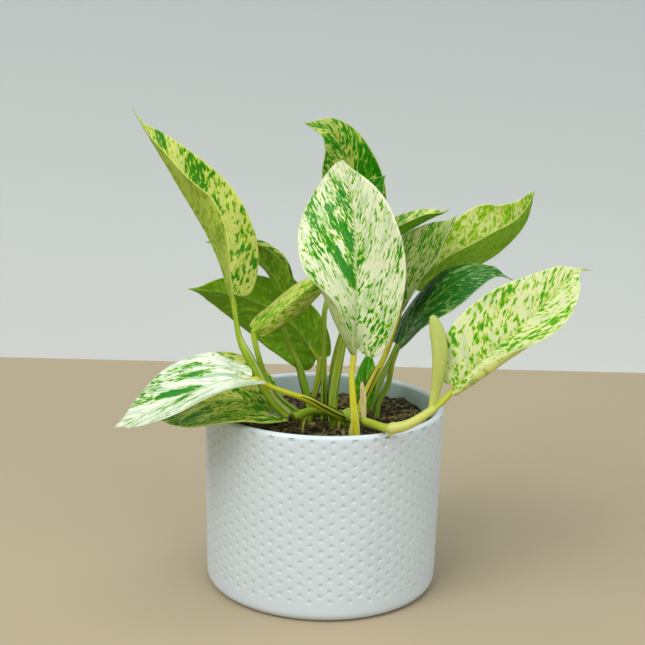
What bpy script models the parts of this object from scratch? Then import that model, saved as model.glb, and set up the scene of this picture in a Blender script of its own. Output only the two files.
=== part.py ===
"""Potted pothos plant with variegated leaves in a round ceramic cover pot.

Metres, +Z up. The origin is the centre of the pot's flat underside. The plant's
own points are given in millimetres from the pot's axis, with heights counted
from the rim plane, so the plant moves with the pot when the pot's height changes.
"""

import math

import bmesh
import bpy
import numpy as np

MM = 0.001

# ---- driving dimensions, millimetres ----
POT_HEIGHT = 96.0
RIM_RADIUS = 62.5          # outer radius at the rim
BASE_RADIUS = 60.5         # outer radius just above the rounded bottom edge
BASE_EDGE_RADIUS = 5.0     # rounding of the bottom edge
WALL = 4.0                 # wall thickness of the pot
FLOOR = 6.0                # thickness of the pot's floor
INNER_FILLET = 6.0         # rounding where the inner wall meets the floor
SOIL_DROP = 12.0           # soil surface below the rim, away from the mound
MOUND_HEIGHT = 4.5         # extra height of the soil at the back right
MOUND_SPREAD = 26.0
MOUND_CENTRE = (30.0, 28.0)
SOIL_GAP = 0.3             # between the soil and the pot
SOCKET_GAP = 0.4           # between a stem and the hole it fills in the soil
SOCKET_MOUTH = 5.0         # how far a hole's cutter stands above the soil
BURIED_DEPTH = 16.0        # how far the stems reach below the soil surface

LEAF_THICKNESS = 0.8
STALK_TIP_RADIUS = 1.2     # a leaf stalk's radius where it meets its blade
STALK_TIP_GAP = 1.6        # between a stalk's end and its blade's first vein
DRIED_SHEATH_THICKNESS = 0.7

POT_SIDES = 64             # the soil has as many, so its gap to the wall is even
SOIL_RINGS = 6
STALK_STEPS = 14
STEM_STEPS = 22
BLADE_COLUMNS = 4          # faces between the midrib and the margin
MIDRIB_STEPS = 400         # fine steps that measure a midrib's length

# Outline of a pothos blade from the leaf base to the drip tip: where the margin
# point lies along the blade, its share of the half width, and where the vein that
# ends there leaves the midrib.
OUTLINE = (
    (0.012, 0.00, 0.012),
    (-0.020, 0.20, 0.020),
    (-0.030, 0.38, 0.035),
    (0.000, 0.55, 0.050),
    (0.060, 0.70, 0.075),
    (0.140, 0.83, 0.110),
    (0.240, 0.94, 0.160),
    (0.360, 1.00, 0.235),
    (0.480, 0.985, 0.330),
    (0.600, 0.89, 0.430),
    (0.720, 0.70, 0.540),
    (0.820, 0.47, 0.660),
    (0.900, 0.25, 0.780),
    (0.960, 0.08, 0.900),
    (1.000, 0.00, 1.000),
)
WIDEST = 0.4               # where along the blade a taper leaves the width as it is
VEIN_SWEEP = 1.3           # how a vein bends forward on its way to the margin

# One entry for each blade. midrib: points from the leaf base to the tip.
# half: widths left and right of the midrib, seen on the upper face with the tip up.
# taper: how much a half narrows towards the tip, less than 0 where it widens.
# point: how pointed a half is, less than 1 where it stays full towards the tip.
# face: which way the upper face looks, at the base and at the tip.
# fold: degrees each half rises from flat, (left, right), evenly from base to tip.
# curl: further rise of the margin, in the same order.
LEAVES = {
    "tall_left": dict(
        midrib=((-47, -22, 59), (-57, -24, 86), (-74, -28, 116), (-94, -32, 150)),
        half=(22, 22), taper=(0.4, 0.4), point=(1.25, 1.25), face=((0.9, 0.05, 0.35), (0.75, -0.55, 0.45)),
        fold=((4, 52), (48, 50), (36, 48)), curl=((0, 15), (8, 12), (6, 10)), green=0.5),
    "centre": dict(
        midrib=((14, -32, 36), (14, -30, 65), (12, -24, 99), (6, -16, 127)),
        half=(29, 29), taper=(-0.1, 0.0), point=(0.45, 1.0), face=((0.0, -0.97, 0.2), (-0.3, -0.9, 0.35)),
        fold=((72, 37), (-20, 12)), curl=((5, 5), (0, 5)), green=0.35),
    "right_front": dict(
        midrib=((62, -52, 23), (76, -53, 39), (99, -53, 62), (115, -51, 79.5), (124, -50, 81)),
        half=(22.5, 24), taper=(0.25, -0.1), point=(1.0, 1.0),
        face=((-0.41, -0.85, 0.33), (-0.41, -0.85, 0.33)),
        fold=((20, 52), (18, 15)), curl=((0, 20), (0, 5)), green=0.2),
    "dark_right": dict(
        midrib=((38, 4, 30), (49, -1, 50), (65, -6, 66), (81, -10, 72), (93, -14, 69)),
        half=(20, 20), taper=(0.2, -0.6), point=(1.3, 1.8), face=((-0.66, -0.46, 0.59), (-0.4, -0.4, 0.82)),
        fold=((-5, 28), (-5, -15)), curl=((-8, 0), (-8, 0)), green=0.9),
    "right_back": dict(
        midrib=((53, 34, 53), (72, 32, 64.5), (90, 29, 76), (103, 26, 92), (107, 24, 110)),
        half=(27, 26), taper=(-0.5, 0.0), point=(0.75, 1.0),
        face=((-0.63, -0.33, 0.65), (-0.63, -0.33, 0.65)),
        fold=((54, 54), (50, 54)), curl=((5, 5), (5, 5)), green=0.6),
    "right_middle": dict(
        midrib=((39, 11, 48), (48, 14, 62), (58, 14, 79), (66, 13, 98)),
        half=(21, 19), taper=(-0.4, 0.0), point=(1.0, 1.0), face=((-0.7, -0.61, 0.36), (-0.7, -0.61, 0.36)),
        fold=((45, 45), (45, 45)), curl=((0, 0), (0, 0)), green=0.4),
    "right_upper": dict(
        midrib=((23, 14, 72), (33, 15, 83), (48, 16, 93), (62, 15, 100)),
        half=(10, 12), taper=(0.0, 0.0), point=(1.0, 1.0),
        face=((-0.61, -0.31, 0.77), (-0.61, -0.31, 0.77)),
        fold=((45, 45), (45, 45)), curl=((5, 5), (0, 0)), green=0.7),
    "top_back": dict(
        midrib=((8, 26, 69), (12.5, 27, 99.5), (7, 20, 126), (-1, 15, 139), (-14, 12, 143)),
        half=(18, 18), taper=(-0.2, 0.0), point=(1.0, 1.0), face=((0.1, -0.95, 0.3), (0.0, -0.9, 0.4)),
        fold=((25, 25), (20, 20)), curl=((0, 0), (0, 0)), green=0.65),
    "small_back": dict(
        midrib=((12, 10, 86), (17, 9, 99), (22, 8, 109), (28, 6, 118)),
        half=(11, 11), taper=(0.0, 0.0), point=(1.0, 1.0), face=((-0.3, -0.9, 0.3), (-0.3, -0.9, 0.3)),
        fold=((20, 20), (20, 20)), curl=((0, 0), (0, 0)), green=0.8),
    "left_middle": dict(
        midrib=((-22, 2.5, 57), (-32, 3.5, 71), (-47, 4.5, 80), (-63, 4, 82)),
        half=(17, 14), taper=(0.0, 0.0), point=(1.0, 1.0), face=((0.4, 0.65, 0.65), (0.2, 0.5, 0.8)),
        fold=((20, 20), (20, 20)), curl=((0, 0), (0, 0)), green=0.8),
    "left_low": dict(
        midrib=((-4, 17, 19), (-18, 19, 36.5), (-43, 17, 51), (-73, 11, 56)),
        half=(16, 24), taper=(0.0, 0.0), point=(1.0, 1.0), face=((0.2, 0.97, 0.15), (0.1, 0.85, 0.5)),
        fold=((8, 8), (15, 15)), curl=((0, 0), (0, 0)), green=0.85),
    "curled": dict(
        midrib=((-35, -24, 43), (-27, -22, 49), (-14, -18, 59), (4, -14, 74)),
        half=(13, 12), taper=(0.0, 0.0), point=(1.0, 1.0), face=((-0.3, -0.8, 0.5), (-0.3, -0.8, 0.5)),
        fold=((-25, -62), (-25, -62)), curl=((-10, -20), (-10, -20)), green=0.6),
    "left_white": dict(
        midrib=((-35, -41, 22), (-49, -50, 23), (-74, -54, 13), (-102, -50, -2)),
        half=(21, 22), taper=(0.0, 0.0), point=(1.0, 1.0), face=((0.0, -0.45, 0.9), (-0.1, -0.6, 0.8)),
        fold=((20, 3), (20, 3)), curl=((14, 0), (7, 0)), green=0.25),
    "left_green": dict(
        midrib=((-26, -12, -1), (-45, -24, 6), (-64, -34, 6), (-86, -38, -1)),
        half=(29, 28), taper=(0.0, 0.0), point=(1.0, 1.0), face=((-0.05, -0.56, 0.83), (0.0, -0.4, 0.9)),
        fold=((27, 27), (10, 10)), curl=((0, 0), (0, 0)), green=0.7),
    "small_front": dict(
        midrib=((20, 4, -4), (21, 4, 8), (22, 5, 18), (23, 6, 27)),
        half=(6, 6), taper=(0.0, 0.0), point=(1.0, 1.0), face=((0.0, -1.0, 0.2), (0.0, -1.0, 0.2)),
        fold=((20, 20), (20, 20)), curl=((0, 0), (0, 0)), green=0.8),
}

# Leaf stalks: the points from the foot up to the leaf base, which is added from
# the blade, and the radius at the foot. A stalk in SOIL_FEET is also buried.
STALKS = {
    "tall_left": (((-20.5, -26, 1.2), (-27, -27, 8), (-38, -26, 28), (-43, -25, 39)), 2.2),
    "centre": (((15.5, -38, -4), (14, -37, 11), (13, -35, 24)), 2.1),
    "right_front": (((52.9, -56.4, 14.9), (57, -54.6, 18)), 1.7),
    "dark_right": (((28, 7, -4), (33, 7, 8), (35, 5.5, 20)), 1.8),
    "right_back": (((26, 18, -4), (35, 24, 17), (45, 30, 39)), 1.8),
    "right_middle": (((19, -3, -4), (24, -1, 10), (31, 3, 25), (36, 8, 39)), 1.9),
    "right_upper": (((3.5, 10.5, -4), (4, 10, 17), (10, 12, 41), (16, 15, 58)), 1.6),
    "top_back": (((-0.5, 5, -4), (-1, 5, 31), (-1, 8, 47), (3, 18, 60)), 1.6),
    "small_back": (((5, 2, -4), (5.5, 2, 7), (9, 3, 32), (11, 6, 55)), 2.0),
    "left_middle": (((-8, 3, -4), (-13, 1, 17), (-20, 0, 32), (-23, 1, 47)), 1.7),
    "left_low": (((-6, 11, -4), (-4, 13.5, 9)), 1.6),
    "curled": (((-16.5, -20, 1.5), (-22, -21, 6), (-29, -20.5, 15), (-34, -24, 31)), 1.7),
    "left_white": (((7.5, -15.5, -3.5), (-2, -22, 3), (-10, -28, 9), (-25, -35, 16)), 1.7),
    "left_green": (((-11, -2, -8.5), (-19, -6.5, -4)), 1.6),
    "small_front": (((19.3, 4, -16),), 1.3),
}
SOIL_FEET = ("centre", "dark_right", "right_back", "right_middle", "right_upper",
             "top_back", "small_back", "left_middle", "left_low", "left_green",
             "small_front")

# The two creeping stems, with a radius at each point. Both start in the soil.
STEMS = {
    "stem_right": (((12, -5, -6), (13, -10, -5), (15.5, -22, -2), (21, -38, 0.8), (29.5, -57, 3.8),
                    (36, -61.5, 5.8), (43, -61.5, 9), (52, -57, 14)), 2.7, 2.2),
    "stem_left": (((5, -4, -8), (3, -7, -4), (-7, -14, -1.5), (-15, -22, -1.8)), 2.4, 2.1),
}

# The youngest leaf, still rolled up in its spike: points with a radius each.
SPIKE = (((50.2, -54.8, 17.4), 1.7), ((51.4, -54.4, 26), 2.4), ((51, -53, 38), 3.0),
         ((49.5, -52, 49), 2.6), ((48.5, -51, 57), 0.7))

# A dried sheath that stands on the right-hand stem.
SHEATH = dict(
    midrib=((19.8, -33, 4.2), (19, -33.5, 10), (18.5, -33.5, 16), (18, -33, 22)),
    half=(1.9, 1.9), taper=(0.0, 0.0), point=(1.0, 1.0), face=((0.0, -1.0, 0.1), (0.0, -1.0, 0.1)),
    fold=((35, 35), (35, 35)), curl=((0, 0), (0, 0)))

# Colours of the pieces, linear light
GLAZE = (0.60, 0.66, 0.66, 1.0)
EARTH = (0.030, 0.018, 0.010, 1.0)
CREAM = (0.62, 0.72, 0.36)
GREEN = (0.035, 0.20, 0.018)
STALK_GREEN = (0.22, 0.40, 0.03, 1.0)
STEM_YELLOW = (0.45, 0.50, 0.08, 1.0)
DRY = (0.42, 0.36, 0.17, 1.0)


def clear_scene():
    for obj in list(bpy.data.objects):
        bpy.data.objects.remove(obj, do_unlink=True)


def material(name, colour, roughness):
    mat = bpy.data.materials.new(name)
    mat.use_nodes = True
    shader = mat.node_tree.nodes["Principled BSDF"]
    shader.inputs["Base Color"].default_value = colour
    shader.inputs["Roughness"].default_value = roughness
    shader.inputs["Metallic"].default_value = 0.0
    mat.diffuse_color = colour
    return mat


def add_object(name, mesh, mat, smooth_angle=40.0):
    obj = bpy.data.objects.new(name, mesh)
    bpy.context.scene.collection.objects.link(obj)
    mesh.materials.clear()
    mesh.materials.append(mat)
    mesh.shade_smooth()
    mesh.set_sharp_from_angle(angle=math.radians(smooth_angle))
    return obj


def unit(v):
    return v / np.linalg.norm(v)


def smooth_path(points, t):
    """Points on a Catmull-Rom curve that passes through the given points."""
    p = np.asarray(points, float)
    p = np.vstack((2 * p[0] - p[1], p, 2 * p[-1] - p[-2]))
    spans = len(p) - 3
    x = np.clip(np.asarray(t, float), 0, 1) * spans
    i = np.minimum(x.astype(int), spans - 1)
    f = (x - i)[:, None]
    a, b, c, d = p[i], p[i + 1], p[i + 2], p[i + 3]
    return 0.5 * (2 * b + (c - a) * f + (2 * a - 5 * b + 4 * c - d) * f ** 2
                  + (3 * b - a - 3 * c + d) * f ** 3)


def evenly_spaced(points):
    """Fine points along the curve, with the share of its length at each."""
    fine = smooth_path(points, np.linspace(0, 1, MIDRIB_STEPS))
    steps = np.linalg.norm(np.diff(fine, axis=0), axis=1)
    reach = np.concatenate(([0.0], np.cumsum(steps)))
    return fine, reach / reach[-1], reach[-1]


def along(share, reach, values):
    return np.stack([np.interp(share, reach, values[:, k]) for k in range(3)], -1)


def blade_point(leaf, midrib, share, across):
    """A point of the blade: share along the midrib, across in mm, left negative."""
    fine, reach, length = midrib
    tangents = np.gradient(fine, axis=0)
    inside = np.clip(share, 0, 1)
    centre = along(inside, reach, fine)
    tangent = along(inside, reach, tangents)
    tangent /= np.linalg.norm(tangent, axis=-1, keepdims=True)
    centre = centre + tangent * ((share - inside) * length)[..., None]
    base_face, tip_face = (unit(np.array(f, float)) for f in leaf["face"])
    normal = base_face + (tip_face - base_face) * inside[..., None]
    normal -= tangent * (normal * tangent).sum(-1, keepdims=True)
    normal /= np.linalg.norm(normal, axis=-1, keepdims=True)
    side = np.cross(tangent, normal)
    right = across > 0
    half = np.where(right, leaf["half"][1], leaf["half"][0])

    def blend(values):
        places = np.linspace(0, 1, len(values))
        left_half, right_half = (np.interp(inside, places, [v[k] for v in values]) for k in (0, 1))
        return np.where(right, right_half, left_half)

    spread = np.abs(across) / half
    rise = np.radians(blend(leaf["fold"]) + blend(leaf["curl"]) * spread ** 2)
    sideways = (across * np.cos(rise))[..., None]
    up = (np.abs(across) * np.sin(rise))[..., None]
    return centre + side * sideways + normal * up


def blade_mesh(name, leaf):
    """The blade's middle surface: rows follow the veins, columns the midrib."""
    outline = np.array(OUTLINE)
    midrib = evenly_spaced(leaf["midrib"])
    columns = np.arange(-BLADE_COLUMNS, BLADE_COLUMNS + 1) / BLADE_COLUMNS
    verts = []
    rows = []
    for margin, width, start in outline:
        single = width == 0
        row = []
        for u in ((0.0,) if single else columns):
            share = start + (margin - start) * abs(u) ** VEIN_SWEEP
            side = 1 if u > 0 else 0
            full = width ** leaf["point"][side] if margin > WIDEST else width
            reach = leaf["half"][side] * full * (1 + leaf["taper"][side] * (WIDEST - margin))
            spot = blade_point(leaf, midrib, np.array([share]), np.array([u * reach]))
            row.append(len(verts))
            verts.append(spot[0])
        rows.append(row)
    faces = []
    for a, b in zip(rows, rows[1:]):
        for k in range(len(columns) - 1):
            a0, a1 = (a[0], a[0]) if len(a) == 1 else (a[k], a[k + 1])
            b0, b1 = (b[0], b[0]) if len(b) == 1 else (b[k], b[k + 1])
            face = [a0, a1, b1, b0]
            faces.append([v for i, v in enumerate(face) if v != face[i - 1]])
    mesh = bpy.data.meshes.new(name)
    mesh.from_pydata([tuple(placed(v)) for v in verts], [], faces)
    return mesh


def placed(point):
    """Plant point in metres: heights are counted from the pot's rim plane."""
    x, y, z = point
    return (x * MM, y * MM, (z + POT_HEIGHT) * MM)


def add_blade(name, leaf, mat, thickness):
    mesh = blade_mesh(name, leaf)
    obj = add_object(name, mesh, mat)
    solid = obj.modifiers.new("thickness", "SOLIDIFY")
    solid.thickness = thickness * MM
    solid.offset = 0.0
    solid.use_even_offset = True
    return obj


def stem_line(points, radii, steps):
    """Centres and radii at even steps along a stem."""
    t = np.linspace(0, 1, steps)
    return smooth_path(points, t), np.interp(t, np.linspace(0, 1, len(radii)), radii)


def round_bar(name, path, widths, mat, sides=8):
    """A stem along its line, drawn as a bevelled curve with filled ends."""
    curve = bpy.data.curves.new(name, "CURVE")
    curve.dimensions = "3D"
    curve.bevel_depth = MM
    curve.bevel_resolution = (sides - 4) // 2
    curve.use_fill_caps = True
    spline = curve.splines.new("POLY")
    spline.points.add(len(path) - 1)
    for spot, centre, width in zip(spline.points, path, widths):
        spot.co = (*placed(centre), 1.0)
        spot.radius = width
    holder = bpy.data.objects.new(name + "_line", curve)
    bpy.context.scene.collection.objects.link(holder)
    bpy.context.view_layer.update()
    graph = bpy.context.evaluated_depsgraph_get()
    mesh = bpy.data.meshes.new_from_object(holder.evaluated_get(graph))
    bpy.data.objects.remove(holder, do_unlink=True)
    mesh.name = name
    return add_object(name, mesh, mat)


def soil_height(x, y):
    """Height of the soil surface in mm, counted from the rim plane."""
    away = math.hypot(x - MOUND_CENTRE[0], y - MOUND_CENTRE[1]) / MOUND_SPREAD
    return -SOIL_DROP + MOUND_HEIGHT * math.exp(-away * away)


def wall_radius(height, inset):
    """Outer wall radius at a height above the base, less an inset, in mm."""
    return BASE_RADIUS + (RIM_RADIUS - BASE_RADIUS) * height / POT_HEIGHT - inset


def arc(centre, radius, start, end, steps):
    cx, cz = centre
    angles = [math.radians(start + (end - start) * k / steps) for k in range(steps + 1)]
    return [(cx + radius * math.cos(a), cz + radius * math.sin(a)) for a in angles]


def pot_profile():
    """Half section of the pot from the axis underneath, round the rim, to the axis inside."""
    rim = WALL / 2
    edge = BASE_EDGE_RADIUS
    bend = INNER_FILLET
    points = [(0.0, 0.0)]
    points += arc((wall_radius(edge, edge), edge), edge, -90, 0, 5)
    for share in (0.35, 0.7):
        height = edge + (POT_HEIGHT - rim - edge) * share
        points.append((wall_radius(height, 0), height))
    points += arc((wall_radius(POT_HEIGHT - rim, rim), POT_HEIGHT - rim), rim, 0, 180, 6)
    low = FLOOR + bend
    points += arc((wall_radius(low, WALL + bend), low), bend, 0, -90, 3)
    points.append((0.0, FLOOR))
    return points


def add_ring(bm, radius, height_at):
    """A ring of points round the axis, each at the height for its place."""
    ring = []
    for k in range(POT_SIDES):
        angle = 2 * math.pi * k / POT_SIDES
        x = radius * math.cos(angle)
        y = radius * math.sin(angle)
        ring.append(bm.verts.new((x * MM, y * MM, height_at(x, y) * MM)))
    return ring


def profile_rings(bm, points):
    """Rings for a half section; a point on the axis stays a single point."""
    rings = []
    for radius, height in points:
        if radius == 0.0:
            rings.append([bm.verts.new((0, 0, height * MM))])
        else:
            rings.append(add_ring(bm, radius, lambda x, y, level=height: level))
    return rings


def build_pot(mat):
    """The turned pot: from the axis underneath, round the rim, to the axis inside."""
    bm = bmesh.new()
    join_rings(bm, profile_rings(bm, pot_profile()))
    return finish_mesh("pot", bm, mat)


def join_rings(bm, rings):
    for low, high in zip(rings, rings[1:]):
        for k in range(POT_SIDES):
            n = (k + 1) % POT_SIDES
            if len(low) == 1:
                bm.faces.new((low[0], high[n], high[k]))
            elif len(high) == 1:
                bm.faces.new((low[k], low[n], high[0]))
            else:
                bm.faces.new((low[k], low[n], high[n], high[k]))


def finish_mesh(name, bm, mat):
    bmesh.ops.recalc_face_normals(bm, faces=bm.faces)
    mesh = bpy.data.meshes.new(name)
    bm.to_mesh(mesh)
    bm.free()
    return add_object(name, mesh, mat)


def build_soil(mat):
    """Soil that fills the pot to just below the rim, mounded at the back right."""
    bm = bmesh.new()
    bend = INNER_FILLET
    low = FLOOR + bend
    profile = [(0.0, FLOOR + SOIL_GAP)]
    profile += arc((wall_radius(low, WALL + bend), low), bend - SOIL_GAP, -90, 0, 3)
    rings = profile_rings(bm, profile)
    edge = wall_radius(POT_HEIGHT - SOIL_DROP, WALL + SOIL_GAP)
    for step in range(SOIL_RINGS):
        radius = edge * (1 - step / SOIL_RINGS)
        rings.append(add_ring(bm, radius, lambda x, y: soil_height(x, y) + POT_HEIGHT))
    rings.append([bm.verts.new((0, 0, (soil_height(0, 0) + POT_HEIGHT) * MM))])
    join_rings(bm, rings)
    return finish_mesh("soil", bm, mat)


def buried_start(points):
    """The stem's point below the soil surface, straight under its foot."""
    x, y, _ = points[0]
    return (x, y, soil_height(x, y) - BURIED_DEPTH)


def cut_socket(soil, name, path, widths):
    """Open the soil round a stem that grows out of it, along the stem's own line."""
    above = [k for k, p in enumerate(path) if p[2] > soil_height(p[0], p[1]) + SOCKET_MOUTH]
    count = above[0] + 1 if above else len(path)
    spots = [path[0] - (0, 0, SOCKET_GAP)] + list(path[1:count])
    radii = [width + SOCKET_GAP for width in widths[:count]]
    cutter = round_bar(name + "_socket", spots, radii, soil.data.materials[0])
    cutter.hide_render = True
    cutter.display_type = "WIRE"
    cut = soil.modifiers.new("socket_" + name, "BOOLEAN")
    cut.operation = "DIFFERENCE"
    cut.solver = "EXACT"
    cut.object = cutter


def leaf_colour(green):
    mix = [c + (g - c) * green for c, g in zip(CREAM, GREEN)]
    return (*mix, 1.0)


def build():
    clear_scene()
    build_pot(material("glazed_ceramic", GLAZE, 0.45))
    soil = build_soil(material("potting_soil", EARTH, 0.95))
    stalk_skin = material("leaf_stalk", STALK_GREEN, 0.45)
    stem_skin = material("green_stem", STEM_YELLOW, 0.45)

    for name, leaf in LEAVES.items():
        blade = material("leaf_" + name, leaf_colour(leaf["green"]), 0.4)
        add_blade("leaf_" + name, leaf, blade, LEAF_THICKNESS)

    for name, (points, radius) in STALKS.items():
        leaf = LEAVES[name]
        base, ahead = (np.array(p, float) for p in leaf["midrib"][:2])
        end = base - unit(ahead - base) * STALK_TIP_GAP
        path = list(points) + [tuple(end)]
        if name in SOIL_FEET:
            path = [buried_start(points)] + path
        radii = (radius, radius, radius * 0.9, radius * 0.8, STALK_TIP_RADIUS)
        line, widths = stem_line(path, radii, STALK_STEPS)
        if name in SOIL_FEET:
            cut_socket(soil, "stalk_" + name, line, widths)
        round_bar("stalk_" + name, line, widths, stalk_skin)

    for name, (points, foot, end) in STEMS.items():
        path = [buried_start(points)] + list(points)
        line, widths = stem_line(path, (foot, foot, end), STEM_STEPS)
        cut_socket(soil, name, line, widths)
        round_bar(name, line, widths, stem_skin)

    spike_points = [point for point, _ in SPIKE]
    spike_radii = [radius for _, radius in SPIKE]
    line, widths = stem_line(spike_points, spike_radii, STALK_STEPS)
    round_bar("young_leaf_spike", line, widths, stem_skin, sides=10)
    add_blade("dried_sheath", SHEATH, material("dried_sheath", DRY, 0.7),
              DRIED_SHEATH_THICKNESS)


build()
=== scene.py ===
"""Potted pothos with marbled leaves in a dimpled, glazed cover pot.

Metres, +Z up, in the frame of the solid model: the origin is the centre of the
pot's underside. The plant's own points are in millimetres from the pot's axis,
with heights counted from the rim plane.
"""

import math

import bmesh
import bpy
import numpy as np
from bpy.props import FloatProperty, FloatVectorProperty, IntProperty, PointerProperty
from mathutils import Matrix, Vector, noise


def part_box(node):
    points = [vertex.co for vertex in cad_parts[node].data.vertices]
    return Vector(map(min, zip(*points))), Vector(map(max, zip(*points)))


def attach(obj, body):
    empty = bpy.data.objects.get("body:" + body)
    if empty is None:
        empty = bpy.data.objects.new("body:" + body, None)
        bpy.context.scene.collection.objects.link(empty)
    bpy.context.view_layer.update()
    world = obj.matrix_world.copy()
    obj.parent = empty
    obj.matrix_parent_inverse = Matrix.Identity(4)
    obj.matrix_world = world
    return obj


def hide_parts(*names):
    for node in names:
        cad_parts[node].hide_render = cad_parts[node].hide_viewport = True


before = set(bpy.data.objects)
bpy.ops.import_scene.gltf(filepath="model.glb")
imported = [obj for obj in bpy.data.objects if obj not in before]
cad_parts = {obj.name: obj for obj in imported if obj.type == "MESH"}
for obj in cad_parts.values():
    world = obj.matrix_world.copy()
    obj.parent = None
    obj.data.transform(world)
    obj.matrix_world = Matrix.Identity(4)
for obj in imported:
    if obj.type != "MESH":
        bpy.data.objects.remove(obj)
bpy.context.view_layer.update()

bl_info = {
    "name": "Potted pothos",
    "version": (1, 0, 0),
    "blender": (4, 5, 0),
    "location": "View3D > Sidebar > Pothos",
    "description": "Builds a marbled pothos in a dimpled cover pot on a pale floor",
    "category": "Add Mesh",
}

MM = 0.001
POT_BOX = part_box("pot")
RIM_HEIGHT = POT_BOX[1][2] / MM       # the plane that the plant's heights start from
RIM_RADIUS = (POT_BOX[1][0] - POT_BOX[0][0]) / 2 / MM

# ---- the pot, millimetres ----
BASE_RADIUS = 60.5
BASE_EDGE = 5.0
WALL = 4.0
FLOOR = 6.0
INNER_FILLET = 6.0
DIMPLE_SIDES = 12
TOP_SQUEEZE = 0.53         # the top cells are lower, to end below the rim

# Rings of a dimple from its middle out: shares of its radius and of its depth.
DIMPLE_RINGS = ((0.0, 1.0), (0.36, 0.80), (0.68, 0.36), (0.95, 0.08), (1.25, 0.0))

# Corners of the cell of wall round a dimple, and of the plain bands over two columns of
# cells: sixths of a column round the pot, quarters of the pitch up.
CELL_EDGE = ((4, 0), (3, 1), (2, 2), (0, 2), (-2, 2), (-3, 1),
             (-4, 0), (-3, -1), (-2, -2), (0, -2), (2, -2), (3, -1))
BAND_EDGE = ((-2, 2), (0, 2), (2, 2), (3, 1), (4, 0), (6, 0), (8, 0), (9, 1))

# ---- the soil, millimetres ----
SOIL_DROP = 12.0
SOIL_GAP = 0.2             # between the soil and the pot
SOIL_SECTORS = 190
SOIL_STEPS = 66
MOUND_HEIGHT = 4.5
MOUND_SPREAD = 26.0
MOUND_CENTRE = (30.0, 28.0)
BURIED_DEPTH = 16.0
LUMPS, LUMPS_ACROSS = 2.0, 9.0       # height and breadth of the soil's lumps
GRAINS, GRAINS_ACROSS = 1.6, 2.4     # and of its grains
CRUMB_LIMIT = 2.5
STRAW_SHARE, STRAW_SHARE_FRONT, FRONT_EDGE = 0.27, 0.5, -36
FIBRE_STEP = 1.1

# Outline of a blade from the leaf base to the drip tip: where the margin point
# lies along the blade, its share of the half width, where its row leaves the midrib.
OUTLINE = (
    (0.012, 0.00, 0.012),
    (-0.020, 0.20, 0.020),
    (-0.030, 0.38, 0.035),
    (0.000, 0.55, 0.050),
    (0.060, 0.70, 0.075),
    (0.140, 0.83, 0.110),
    (0.240, 0.94, 0.160),
    (0.360, 1.00, 0.235),
    (0.480, 0.985, 0.330),
    (0.600, 0.89, 0.430),
    (0.720, 0.70, 0.540),
    (0.820, 0.47, 0.660),
    (0.900, 0.25, 0.780),
    (0.960, 0.08, 0.900),
    (1.000, 0.00, 1.000),
)
WIDEST = 0.4               # share of the length where a blade is widest
ROW_SWEEP = 1.3            # how strongly its rows bend forward to the margin
DRIP_START = 0.86          # where the blade draws in to its drip tip
ROWS_PER_STEP = 8
BLADE_COLUMNS = 22         # faces between the midrib and the margin
MIDRIB_STEPS = 400
VEIN_GAP = 8.0             # between side veins
FINE_VEIN_GAP = 1.3
PILLOW = 0.2               # how far a blade swells between its side veins
GROOVE, GROOVE_WIDTH = 0.35, 0.9   # how far the midrib sinks into the upper face
RIB, RIB_WIDTH = 0.75, 0.95        # how far it stands out below
LUMP_HEIGHT, LUMP_SIZE = 0.3, 17   # slow swells over the whole blade
MARGIN_THINNING = 0.45     # share of the thickness lost at the margin
COLUMN_SPREAD = 1.15       # columns lie a little closer together at the midrib
DRIP_LENGTH = 0.07         # share of the length over which the drip tip draws in
ROLL_IN, ROLL_OUT = 0.12, 0.3      # shares of the length where a rolled half fades
WAVE_IN, WAVE_OUT = 0.12, 0.2      # and where the margin's waves do
PLACE_SLACK = 3.5          # how far a blade may lie off its solid

# The three sizes of marking, across and along the veins: sectors of 15 x 22 mm,
# flecks of 2 x 4 mm and specks of 1 x 2 mm, with how ragged each is.
MARKINGS = ((0.065, 0.045, 1.0), (0.45, 0.25, 1.3), (1.0, 0.55, 1.0))

# How far above the level of its share each tone starts and is full.
MARKING_BANDS = (("fringe", -0.085, -0.02), ("green", -0.02, 0.02), ("dark", 0.03, 0.14))

# One entry for each blade, its shape in mm and then its marking.
# midrib: points from the leaf base to the tip. half: widths left and right of it, seen
# on the upper face with the tip up. taper, point: how each half narrows towards the
# tip, and how pointed it ends. face: which way the upper face looks, at the base and
# at the tip. fold, curl: degrees that each half rises, and its margin further, evenly
# spaced from base to tip. drip: how far the tip is drawn in. roll: a half that is
# rolled up: its side, where across it starts, degrees, and the shares of the length
# that it lies between. wave: height and number of the margin's waves.
# pale, fringe, green, dark: from the unmarked ground to the darkest patches. wash: thin
# grey-green clouds on the pale ground and their strength. share: how much is green.
# grain: how much the sectors, flecks and specks each count. angle: degrees between
# veins and midrib, at the base and at the tip. under: colour below, and how far it
# hides the marking. rib: colour of the midrib. patches: (side, where its vein leaves
# the midrib, distance along that vein, half width, half length, strength) in mm; a
# negative strength is a pale gap.
PLAIN_LEAF = dict(taper=(0.0, 0.0), point=(1.0, 1.0), curl=((0, 0),), drip=0.3,
                  grain=(0.7, 1.2, 0.4), rib="#b9cc6a", patches=())
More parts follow.
